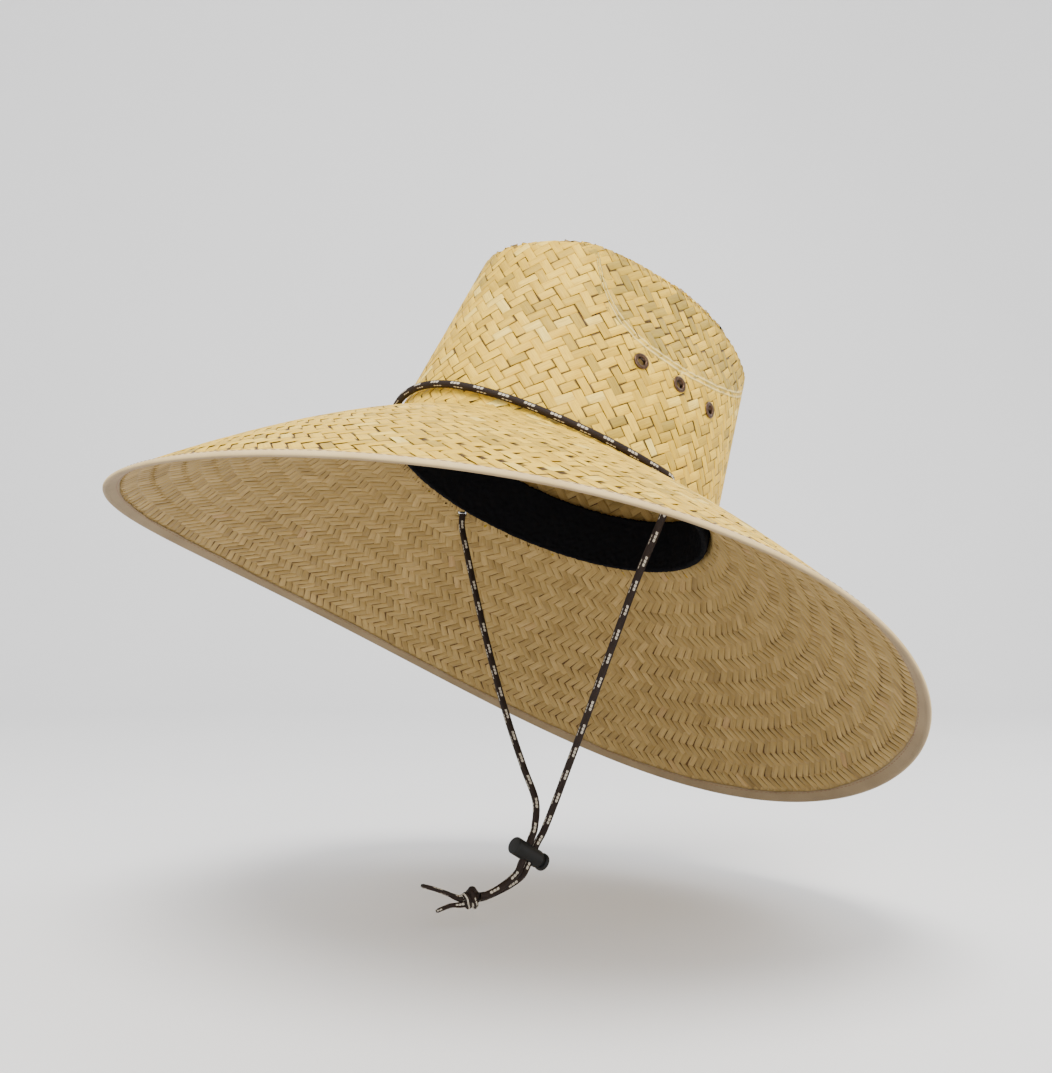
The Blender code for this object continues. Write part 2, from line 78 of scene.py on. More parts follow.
def newMesh(name, points, faceSets, material, values=None):
    # Vertices from one array, faces from arrays of equal-sided polygons, values as point attributes
    mesh = bpy.data.meshes.new(name)
    corners = np.concatenate([faces.ravel() for faces in faceSets]).astype(np.int32)
    sides = np.concatenate([np.full(len(faces), faces.shape[1]) for faces in faceSets])
    starts = np.concatenate([[0], np.cumsum(sides)[:-1]]).astype(np.int32)
    mesh.vertices.add(len(points))
    mesh.vertices.foreach_set("co", np.ascontiguousarray(points, dtype=np.float32).ravel())
    mesh.loops.add(len(corners))
    mesh.loops.foreach_set("vertex_index", corners)
    mesh.polygons.add(len(sides))
    mesh.polygons.foreach_set("loop_start", starts)
    for key, data in (values or {}).items():
        kind = "FLOAT" if data.ndim == 1 else "FLOAT_VECTOR"
        layer = mesh.attributes.new(key, kind, "POINT")
        layer.data.foreach_set("value" if kind == "FLOAT" else "vector",
                               np.ascontiguousarray(data, dtype=np.float32).ravel())
    mesh.update(calc_edges=True)
    mesh.validate()
    mesh.shade_smooth()
    mesh.materials.append(material)
    return placed(name, mesh)


def gridFaces(rows, columns, closedRows=False, closedColumns=False):
    # Quads of a grid of rows and columns, each way open or closed into a ring
    r = np.arange(rows if closedRows else rows - 1)[:, None]
    c = np.arange(columns if closedColumns else columns - 1)[None, :]
    down, across = (r + 1) % rows, (c + 1) % columns
    quads = np.stack(np.broadcast_arrays(r * columns + c, r * columns + across,
                                         down * columns + across, down * columns + c), -1)
    return quads.reshape(-1, 4)


def fullTurn(count):
    # Even angles of a full turn, from zero
    return np.arange(count) / count * 2 * pi


def vectors(x, y, z):
    return np.stack(np.broadcast_arrays(x, y, z), -1)


def stepLengths(path):
    return np.linalg.norm(np.diff(path, axis=0), axis=1)


def lengthsAlong(path):
    # Distance along a path from its first point to each
    return np.concatenate([[0], np.cumsum(stepLengths(path))])


def addNode(tree, kind, links=None, **settings):
    # A shader node with its settings, and its inputs either set or linked
    made = tree.nodes.new(kind)
    for key, value in settings.items():
        setattr(made, key, value)
    for key, value in (links or {}).items():
        if isinstance(value, bpy.types.NodeSocket):
            tree.links.new(value, made.inputs[key])
        else:
            made.inputs[key].default_value = value
    return made


def sums(tree, operation, first, second=0.0, third=None):
    links = {0: first, 1: second}
    if third is not None:
        links[2] = third
    return addNode(tree, "ShaderNodeMath", links, operation=operation).outputs[0]


def attribute(tree, name, output="Fac"):
    return addNode(tree, "ShaderNodeAttribute", attribute_name=name).outputs[output]


def noiseOf(tree, place, scale, detail):
    return addNode(tree, "ShaderNodeTexNoise", {"Vector": place, "Scale": scale, "Detail": detail}).outputs[0]


def addBump(tree, shader, height, strength, distance):
    bump = addNode(tree, "ShaderNodeBump", {"Height": height, "Strength": strength, "Distance": distance})
    tree.links.new(bump.outputs[0], shader.inputs["Normal"])


def ramp(tree, factor, stops):
    made = addNode(tree, "ShaderNodeValToRGB", {"Fac": factor})
    while len(made.color_ramp.elements) < len(stops):
        made.color_ramp.elements.new(0.5)
    for element, (place, color) in zip(made.color_ramp.elements, stops):
        element.position = place
        element.color = (*color, 1.0) if len(color) == 3 else color
    return made.outputs["Color"]


def mixed(tree, factor, first, second, blend="MIX"):
    made = addNode(tree, "ShaderNodeMix", None, data_type="RGBA", blend_type=blend)
    for index, value in ((0, factor), (6, first), (7, second)):
        if isinstance(value, bpy.types.NodeSocket):
            tree.links.new(value, made.inputs[index])
        else:
            made.inputs[index].default_value = (*value, 1.0) if isinstance(value, tuple) else value
    return made.outputs[2]


def newMaterial(name):
    material = bpy.data.materials.new(name)
    material.use_nodes = True
    tree = material.node_tree
    return material, tree, tree.nodes["Principled BSDF"]


def newGroup(name, inputs, outputs):
    group = bpy.data.node_groups.new(name, "ShaderNodeTree")
    for label, kind, value in inputs:
        made = group.interface.new_socket(label, in_out="INPUT", socket_type=kind)
        if value is not None:
            made.default_value = value
    for label, kind in outputs:
        group.interface.new_socket(label, in_out="OUTPUT", socket_type=kind)
    return group, group.nodes.new("NodeGroupInput"), group.nodes.new("NodeGroupOutput")


# Shader groups

def makeFibreGroup():
    # Fine grain along a strip from noise stretched many times along it, and wider blotches
    group, enter, leave = newGroup("palmFibre", [("Strip", "NodeSocketVector", None)],
                                   [("Streak", "NodeSocketFloat"), ("Blotch", "NodeSocketFloat")])
    parts = addNode(group, "ShaderNodeSeparateXYZ", {0: enter.outputs["Strip"]})
    along = sums(group, "MULTIPLY", parts.outputs[0], 60.0)
    across = sums(group, "MULTIPLY", parts.outputs[1], 2600.0)
    shift = sums(group, "MULTIPLY", parts.outputs[2], 37.0)
    place = addNode(group, "ShaderNodeCombineXYZ", {0: along, 1: across, 2: shift})
    fine = addNode(group, "ShaderNodeTexNoise", {"Vector": place.outputs[0], "Scale": 1.0,
                                                 "Detail": 3.0, "Roughness": 0.6})
    wide = addNode(group, "ShaderNodeCombineXYZ", {0: sums(group, "MULTIPLY", parts.outputs[0], 130.0),
                                                   1: sums(group, "MULTIPLY", parts.outputs[1], 320.0),
                                                   2: shift})
    blotch = noiseOf(group, wide.outputs[0], 1.0, 2.0)
    group.links.new(fine.outputs[0], leave.inputs["Streak"])
    group.links.new(blotch, leave.inputs["Blotch"])
    return group


def makeThreadGroup():
    # Over-and-under threads from two crossed sine waves, for woven tape
    group, enter, leave = newGroup(
        "threadWeave",
        [("Place", "NodeSocketVector", None), ("Around", "NodeSocketFloat", 7800.0),
         ("Across", "NodeSocketFloat", 9000.0)],
        [("Height", "NodeSocketFloat"), ("ThreadGapShade", "NodeSocketFloat")])
    parts = addNode(group, "ShaderNodeSeparateXYZ", {0: enter.outputs["Place"]})
    first = sums(group, "SINE", sums(group, "MULTIPLY", parts.outputs[0], enter.outputs["Around"]))
    second = sums(group, "SINE", sums(group, "MULTIPLY", parts.outputs[1], enter.outputs["Across"]))
    height = sums(group, "MULTIPLY_ADD", sums(group, "MULTIPLY", first, second), 0.5, 0.5)
    # Where the threads part, as a mask for painted shade
    gap = sums(group, "SUBTRACT", 1.0, sums(group, "MAXIMUM", sums(group, "ABSOLUTE", first),
                                           sums(group, "ABSOLUTE", second)))
    group.links.new(height, leave.inputs["Height"])
    group.links.new(gap, leave.inputs["ThreadGapShade"])
    return group


fibreGroup = makeFibreGroup()
threadGroup = makeThreadGroup()


# Materials

def makeStrawMaterial(name, stops, shadeColor, roughness):
    # Palm strip: each float's own tone on a ramp, streaked along its fibres, with painted shade where it dips
    # under its neighbours
    material, tree, shader = newMaterial(name)
    tone = attribute(tree, "tone")
    dipShade = attribute(tree, "dipShade")
    strip = attribute(tree, "strip", "Vector")
    fibre = addNode(tree, "ShaderNodeGroup", {"Strip": strip}, node_tree=fibreGroup)
    color = ramp(tree, tone, stops)
    streak = ramp(tree, fibre.outputs["Streak"], ((0.30, (0.72, 0.66, 0.55)), (0.55, (1.0, 1.0, 1.0)),
                                                  (0.85, (1.10, 1.08, 1.02))))
    color = mixed(tree, 0.8, color, streak, "MULTIPLY")
    blotch = ramp(tree, fibre.outputs["Blotch"], ((0.35, (0.84, 0.80, 0.72)), (0.62, (1.0, 1.0, 1.0))))
    color = mixed(tree, 0.7, color, blotch, "MULTIPLY")
    # The floats' dark marks are painted shade where they dip under their neighbours and at their gaps
    mark = addNode(tree, "ShaderNodeMapRange", {"Value": dipShade, "From Min": 0.30, "From Max": 0.85},
                   interpolation_type="SMOOTHSTEP").outputs[0]
    color = mixed(tree, mark, color, shadeColor)
    # The dent's edge is pressed in as two raised lines, paler than the rest
    crease = attribute(tree, "crease")
    lines = []
    for middle in (0.0002, 0.0034):
        away = sums(tree, "ABSOLUTE", sums(tree, "SUBTRACT", crease, middle))
        lines.append(addNode(tree, "ShaderNodeMapRange", {"Value": away, "From Min": 0.0, "From Max": 0.0013,
                                                          "To Min": 1.0, "To Max": 0.0},
                             interpolation_type="SMOOTHSTEP").outputs[0])
    raised = sums(tree, "MAXIMUM", lines[0], lines[1])
    color = mixed(tree, sums(tree, "MULTIPLY", raised, 0.75), color, (0.98, 0.76, 0.26))
    tree.links.new(color, shader.inputs["Base Color"])
    rough = sums(tree, "MULTIPLY_ADD", fibre.outputs["Streak"], 0.25, roughness - 0.12)
    tree.links.new(rough, shader.inputs["Roughness"])
    pressed = addNode(tree, "ShaderNodeBump", {"Height": raised, "Strength": 1.0, "Distance": 0.0009})
    bump = addNode(tree, "ShaderNodeBump", {"Height": fibre.outputs["Streak"], "Strength": 0.35,
                                            "Distance": 0.00012, "Normal": pressed.outputs[0]})
    tree.links.new(bump.outputs[0], shader.inputs["Normal"])
    shader.inputs["Specular IOR Level"].default_value = 0.22
    return material


def makeUnderlayShadeMaterial():
    # What shows between the strips: a dark sheet as painted shade, paler at the top's rim, where the strips
    # crowd
    material, tree, shader = newMaterial("strawUnderlay")
    place = addNode(tree, "ShaderNodeTexCoord").outputs["Object"]
    noise = noiseOf(tree, place, 420.0, 3.0)
    color = ramp(tree, noise, ((0.3, (0.060, 0.030, 0.009)), (0.7, (0.13, 0.068, 0.020))))
    pale = attribute(tree, "pale")
    color = mixed(tree, pale, color, (0.62, 0.40, 0.05))
    tree.links.new(color, shader.inputs["Base Color"])
    shader.inputs["Roughness"].default_value = 0.9
    addBump(tree, shader, noise, 0.5, 0.0003)
    return material


def makeTapeMaterial():
    material, tree, shader = newMaterial("edgeTape")
    strip = attribute(tree, "strip", "Vector")
    threads = addNode(tree, "ShaderNodeGroup", {"Place": strip}, node_tree=threadGroup)
    place = addNode(tree, "ShaderNodeTexCoord").outputs["Object"]
    noise = noiseOf(tree, place, 38.0, 4.0)
    # The tape's top is painted lighter and its underside darker: painted light and painted shade on one cloth
    litTopColor = ramp(tree, noise, ((0.3, (0.66, 0.47, 0.20)), (0.7, (0.78, 0.58, 0.28))))
    shadedUnderColor = ramp(tree, noise, ((0.3, (0.21, 0.145, 0.070)), (0.7, (0.28, 0.200, 0.102))))
    below = attribute(tree, "below")
    color = mixed(tree, below, litTopColor, shadedUnderColor)
    # Darker between the threads: painted shade
    color = mixed(tree, sums(tree, "MULTIPLY", threads.outputs["ThreadGapShade"], 0.5), color, (0.22, 0.16, 0.09))
    tree.links.new(color, shader.inputs["Base Color"])
    shader.inputs["Roughness"].default_value = 0.85
    shader.inputs["Sheen Weight"].default_value = 0.05
    addBump(tree, shader, threads.outputs["Height"], 0.5, 0.00018)
    return material


def makePlainMaterial(name, color, roughness, metallic=0.0, noiseScale=600.0, contrast=0.3, depth=0.0001,
                      shine=0.5):
    # One colour broken up by fine noise, with a bump from the same noise
    material, tree, shader = newMaterial(name)
    place = addNode(tree, "ShaderNodeTexCoord").outputs["Object"]
    noise = noiseOf(tree, place, noiseScale, 4.0)
    low = tuple(value * (1 - contrast) for value in color)
    high = tuple(value * (1 + contrast) for value in color)
    made = ramp(tree, noise, ((0.3, low), (0.7, high)))
    tree.links.new(made, shader.inputs["Base Color"])
    rough = sums(tree, "MULTIPLY_ADD", noise, 0.2, roughness - 0.1)
    tree.links.new(rough, shader.inputs["Roughness"])
    shader.inputs["Metallic"].default_value = metallic
    shader.inputs["Specular IOR Level"].default_value = shine
    addBump(tree, shader, noise, 0.6, depth)
    return material


def makeCordMaterial():
    # Dark braid: the fleck field is over a half where the light tracer threads come up
    material, tree, shader = newMaterial("braidedCord")
    fleck = attribute(tree, "fleck")
    grooveShade = attribute(tree, "grooveShade")
    strip = attribute(tree, "strip", "Vector")
    noise = noiseOf(tree, strip, 2600.0, 2.0)
    dark = ramp(tree, noise, ((0.3, (0.008, 0.004, 0.0025)), (0.75, (0.030, 0.015, 0.009))))
    light = ramp(tree, noise, ((0.3, (0.42, 0.36, 0.27)), (0.7, (0.78, 0.72, 0.60))))
    shown = addNode(tree, "ShaderNodeMapRange", {"Value": fleck, "From Min": 0.46, "From Max": 0.54})
    color = mixed(tree, shown.outputs[0], dark, light)
    # Darker in the braid's grooves: painted shade
    color = mixed(tree, sums(tree, "MULTIPLY", grooveShade, 0.75), color, (0.004, 0.002, 0.0015))
    tree.links.new(color, shader.inputs["Base Color"])
    shader.inputs["Roughness"].default_value = 0.75
    shader.inputs["Specular IOR Level"].default_value = 0.3
    addBump(tree, shader, noise, 0.5, 0.0001)
    return material


outerStraw = makeStrawMaterial("palmStrawOuter", (
    (0.00, (0.36, 0.255, 0.045)), (0.16, (0.55, 0.365, 0.042)), (0.42, (0.82, 0.525, 0.042)),
    (0.75, (0.93, 0.615, 0.062)), (0.92, (0.98, 0.75, 0.19)), (1.00, (0.72, 0.39, 0.06))),
    (0.075, 0.042, 0.010), 0.55)
# The inside faces: the same palm straw, a little more tan, and darkened as painted shade
innerStrawShaded = makeStrawMaterial("palmStrawInnerShaded", (
    (0.00, (0.245, 0.160, 0.056)), (0.20, (0.31, 0.208, 0.071)), (0.55, (0.375, 0.256, 0.090)),
    (0.85, (0.44, 0.303, 0.115)), (1.00, (0.37, 0.225, 0.102))),
    (0.105, 0.052, 0.020), 0.60)
underlayShadeStraw = makeUnderlayShadeMaterial()
tapeCloth = makeTapeMaterial()
stitchThread = makePlainMaterial("stitchThread", (0.20, 0.085, 0.045), 0.7, 0.0, 3000.0, 0.3, 0.00005)
terryCloth = makePlainMaterial("terryCloth", (0.006, 0.006, 0.007), 0.97, 0.0, 2500.0, 0.5, 0.0003, 0.05)
bronzeMetal = makePlainMaterial("darkBronze", (0.105, 0.062, 0.038), 0.36, 0.9, 900.0, 0.35, 0.00003)
cordBraid = makeCordMaterial()
lockPlastic = makePlainMaterial("blackPlastic", (0.006, 0.0065, 0.0065), 0.60, 0.0, 2600.0, 0.15, 0.00004,
                                0.35)
print("stage: materials made")


# Shape of the straw. Angles run round the hat from the front, through the wearer's left, to the back.
# Run is the way along the straw in metres: up the crown from its foot, and below zero out along the brim

strawShape = {
    "halfLength": 0.101, "halfWidth": 0.085, "height": 0.118, "frontDip": 0.006, "sideRise": 0.005,
    "lengthTaper": 0.078, "widthTaper": 0.144, "lean": 0.062,
    "topRadius": 0.005, "topSink": 0.016, "topSlopeShare": 0.45,
    "dentAngle": 84.0, "dentLow": 0.0655, "dentDepth": 0.008,
    "dentFrontSpan": 40.0, "dentBackSpan": 58.0, "dentFrontRise": 0.048, "dentBackRise": 0.039,
    "dentFrontCurve": 3.0, "dentBackCurve": 1.6, "dentRimRoom": 1.3,
    "frontReach": 0.1186, "backReach": 0.1240, "sideReach": 0.1339,
    "drop": 0.0864, "endDroop": 0.0158, "frontLift": 0.0029, "bulge": 0.18, "frontBulge": 0.08,
    "footRound": 0.0055, "wall": 0.0014, "tilt": radians(23.0),
}


def crownWall(angle, height):
    # Oval that narrows and leans back as it rises
    s = strawShape
    x = (s["halfWidth"] - s["widthTaper"] * height) * np.sin(angle)
    y = s["lean"] * height - (s["halfLength"] - s["lengthTaper"] * height) * np.cos(angle)
    return vectors(x, y, height)


def planNormal(angle):
    s = strawShape
    made = vectors(np.sin(angle) / s["halfWidth"], -np.cos(angle) / s["halfLength"], 0.0)
    return made / np.linalg.norm(made, axis=-1, keepdims=True)


def rimHeight(angle):
    s = strawShape
    return s["height"] + s["sideRise"] * np.sin(angle) ** 2 - s["frontDip"] * ((1 + np.cos(angle)) / 2) ** 8


def dentShare(angle):
    # -1 at the dent's front end, 0 at its lowest point and 1 at its back end
    s = strawShape
    away = np.degrees(np.abs((angle + pi) % (2 * pi) - pi)) - s["dentAngle"]
    return np.where(away < 0, away / s["dentFrontSpan"], away / s["dentBackSpan"])


def dentEdge(angle):
    s = strawShape
    share = dentShare(angle)
    away = np.abs(share)
    rise = np.where(share < 0, s["dentFrontRise"] * away ** s["dentFrontCurve"],
                    s["dentBackRise"] * away ** s["dentBackCurve"])
    return np.minimum(s["dentLow"] + rise, rimHeight(angle) - s["dentRimRoom"] * s["topRadius"])


def dentInset(angle):
    return strawShape["dentDepth"] * np.maximum(0.0, 1 - dentShare(angle) ** 2)


def brimEdge(angle):
    s = strawShape
    reach = np.where(np.cos(angle) > 0, s["frontReach"], s["backReach"])
    x = (s["halfWidth"] + s["sideReach"]) * np.sin(angle)
    y = -(s["halfLength"] + reach) * np.cos(angle)
    z = s["frontLift"] * np.cos(angle) - s["drop"] - s["endDroop"] * np.cos(2 * angle)
    return vectors(x, y, z)


def brimWidth(angle):
    return np.linalg.norm(brimEdge(angle) - crownWall(angle, 0.0), axis=-1)


def brimPoint(angle, share):
    # Straight from the crown's foot to the edge in plan, rounding over before it drops
    s = strawShape
    bulge = s["bulge"] + s["frontBulge"] * np.cos(angle)
    foot, edge = crownWall(angle, 0.0), brimEdge(angle)
    spot = foot + (edge - foot) * share[..., None]
    spot[..., 2] = edge[..., 2] * (share - bulge * share * (1 - share))
    return spot


def topHeight(angle, share):
    # The top sinks from its rim to the middle along half a cosine wave
    s = strawShape
    slope = np.minimum(1.0, (1 - share) / s["topSlopeShare"])
    sunk = s["topSink"] * (1 - np.cos(pi * slope)) / 2
    return s["height"] + (rimHeight(angle) - s["height"]) * share - sunk


def levelPoint(angle, run):
    # The straw's outer face on the level hat: brim, bend at the foot, wall with its dents, rim and top
    s = strawShape
    angle, run = np.broadcast_arrays(angle, run)
    outward, rim = planNormal(angle), rimHeight(angle)
    wallTop, edge = rim - s["topRadius"], dentEdge(angle)
    height = np.clip(run, 0.0, wallTop)
    press = dentInset(angle) * np.sin(pi / 2 * np.clip((height - edge) / (wallTop - edge), 0.0, 1.0))
    turn = np.clip((run - wallTop) / s["topRadius"], 0.0, pi / 2)
    inset = press + s["topRadius"] * (1 - np.cos(turn))
    crown = crownWall(angle, height) - outward * inset[..., None]
    crown[..., 2] += s["topRadius"] * np.sin(turn)
    inward = np.maximum(run - wallTop - s["topRadius"] * pi / 2, 0.0)
    middle = vectors(0.0, s["lean"] * rim, crown[..., 2])
    distance = np.linalg.norm(crown - middle, axis=-1)
    share = np.clip(1 - inward / distance, 0.0, 1.0)
    top = middle + (crown - middle) * share[..., None]
    top[..., 2] = np.where(inward > 0, topHeight(angle, share), crown[..., 2])
    width = brimWidth(angle)
    brim = brimPoint(angle, np.maximum(-run, 0.0) / width)
    bend = np.clip((s["footRound"] - run) / (2 * s["footRound"]), 0.0, 1.0)[..., None]
    start, corner = crownWall(angle, s["footRound"]), crownWall(angle, 0.0)
    end = brimPoint(angle, s["footRound"] / width)
    fold = (1 - bend) ** 2 * start + 2 * bend * (1 - bend) * corner + bend ** 2 * end
    upper = (run > s["footRound"])[..., None]
    lower = (run < -s["footRound"])[..., None]
    return np.where(upper, top, np.where(lower, brim, fold))


def tipBack(points):
    # The level hat turned about X, as it is worn
    lean = strawShape["tilt"]
    x, y, z = points[..., 0], points[..., 1], points[..., 2]
    return vectors(x, y * cos(lean) + z * sin(lean), z * cos(lean) - y * sin(lean))


def strawSurface(angle, run):
    # Place, way round, way up and outward normal of the straw's outer face, by central differences
    stepAngle, stepRun = 0.0015, 0.0002
    place = tipBack(levelPoint(angle, run))
    around = (tipBack(levelPoint(angle + stepAngle, run))
              - tipBack(levelPoint(angle - stepAngle, run))) / (2 * stepAngle)
    upward = (tipBack(levelPoint(angle, run + stepRun))
              - tipBack(levelPoint(angle, run - stepRun))) / (2 * stepRun)
    normal = np.cross(around, upward)
    normal /= np.maximum(np.linalg.norm(normal, axis=-1, keepdims=True), 1e-12)
    return place, around, upward, normal


# The top's mat is laid out by X and Y, so its places are looked up by their bearing from the middle

rimAngles = np.linspace(-pi, pi, 1441)
rimRuns = rimHeight(rimAngles) - strawShape["topRadius"] * (1 - pi / 2)
rimPoints = levelPoint(rimAngles, rimRuns)
topMiddle = strawShape["lean"] * strawShape["height"]
rimBearings = np.unwrap(np.arctan2(rimPoints[:, 0], -(rimPoints[:, 1] - topMiddle)))


def topLevelPoint(x, y):
    # Place on the level top, and how far out it lies, 1 at the rim; past the rim it falls along the round
    bearing = np.arctan2(x, -(y - topMiddle))
    angle = np.interp(bearing, rimBearings, rimAngles)
    rimX, rimY = np.interp(angle, rimAngles, rimPoints[:, 0]), np.interp(angle, rimAngles, rimPoints[:, 1])
    reach = np.hypot(rimX, rimY - topMiddle)
    share = np.hypot(x, y - topMiddle) / reach
    radius = strawShape["topRadius"]
    beyond = np.clip((share - 1) * reach, 0.0, 0.75 * radius)
    pull = np.minimum(1.0, (reach + 0.75 * radius) / np.maximum(share * reach, 1e-6))
    fall = radius - np.sqrt(radius ** 2 - beyond ** 2)
    return vectors(x * pull, topMiddle + (y - topMiddle) * pull,
                   topHeight(angle, np.minimum(share, 1.0)) - fall), share


def topSurface(x, y):
    step = 0.0005
    place = tipBack(topLevelPoint(x, y)[0])
    across = (tipBack(topLevelPoint(x + step, y)[0]) - tipBack(topLevelPoint(x - step, y)[0])) / (2 * step)
    back = (tipBack(topLevelPoint(x, y + step)[0]) - tipBack(topLevelPoint(x, y - step)[0])) / (2 * step)
    normal = np.cross(across, back)
    normal /= np.linalg.norm(normal, axis=-1, keepdims=True)
    return place, across, back, normal


# Woven palm strips. Every float, the stretch that shows between two dips, is a thin closed strip

weave = {
    "columns": 76,             # columns of floats round the crown
    "rowHeight": 0.0074,       # height of one float's row on the crown
    "brimRows": 20,
    "brimTop": (0.0077, 0.12),           # from one strip to the next, and how far the floats narrow
    "brimUnder": (0.0056, 0.17),
    "dentColumns": 74, "dentRows": 9,
    "matPitch": 0.0074, "matHalf": 17,   # pitch of the top's mat, and its columns to each side
    "thickness": 0.00027,
    "lift": -0.00024,          # middle line of the floats, from the straw's outer face
    "swing": 0.00030,          # how far a float rises over that line, and dips under it at its ends
    # along a float in lengths that show, and its height there in swings, outside and inside
    "along": ((-1.30, -1.10, -0.98, -0.70, 0.70, 0.98, 1.10, 1.30),
              (-1.0, -0.80, 0.45, 1.0, 1.0, 0.45, -0.80, -1.0)),
    "alongInside": ((-1.25, -1.04, -0.75, 0.75, 1.04, 1.25), (-1.0, -0.40, 1.0, 1.0, -0.40, -1.0)),
    "acrossPlaces": (-1.0, -0.90, 0.90, 1.0),
    "edgeDrop": 0.00004,
    "insideSwing": 0.7,        # a float's swing on the inside, of that outside
    "filler": 0.00028,         # how much deeper the floats lie that fill in where two weaves meet
    "breadths": (0.96, 1.02), "lengths": (0.98, 1.03),      # least and most of each, in its cell's
    "leanSpread": 1.5, "slipSpread": 0.00014, "cupSpread": 0.00004,
    "edgeRoom": 0.0004,        # floats end this far inside the brim's edge
    "nearHole": 0.0105,        # floats this near to a hole are cut with it
}
tones = {
    # shares of a float's tone that its strip gives and that is its own
    # the dent's floats take a lower share, as painted shade in the recess
    "crown": (0.62, 0.38), "brim": (0.6, 0.4), "dent": 0.62, "mat": (0.35, 0.6),
    "own": (2.0, 2.2),         # shape of the spread of what is its own
}
seam = {
    # where the crown's columns end and a dent's own rows begin, in the dent's spans and in metres
    "columnsTo": 0.97, "rowsTo": 1.08, "columnsOver": 0.0015, "rowsFrom": 0.0012, "rowsOver": 0.0035,
    # how much further both reach, sunk, as the dent's edge steepens at the front
    "steepFrom": 0.5, "columnReach": 0.9, "steepColumns": 1.6, "steepRows": 0.010,
}
shadeMarks = {
    # painted shade marks on the floats, where they go under and at their gaps: where they begin in lengths
    # that show, their depths, and what calms them
    "endFrom": 0.75, "endOver": 0.23, "endDepths": (0.2, 1.1),
    "middle": 0.37,            # a mark's depth along a float's middle, of that at its sides
    "flankFrom": -0.8, "flankDepths": (0.0, 1.1), "flankCurve": 1.5,
    "outside": (0.95, 0.95), "inside": (0.42, 0.5),         # most at ends and at sides on each face
    "addedFrom": 0.6, "addedDepths": (0.4, 1.2), "addedGrowth": 4.0,
    "topFrom": 0.96, "topOver": 0.03, "rimOver": 0.002,
}


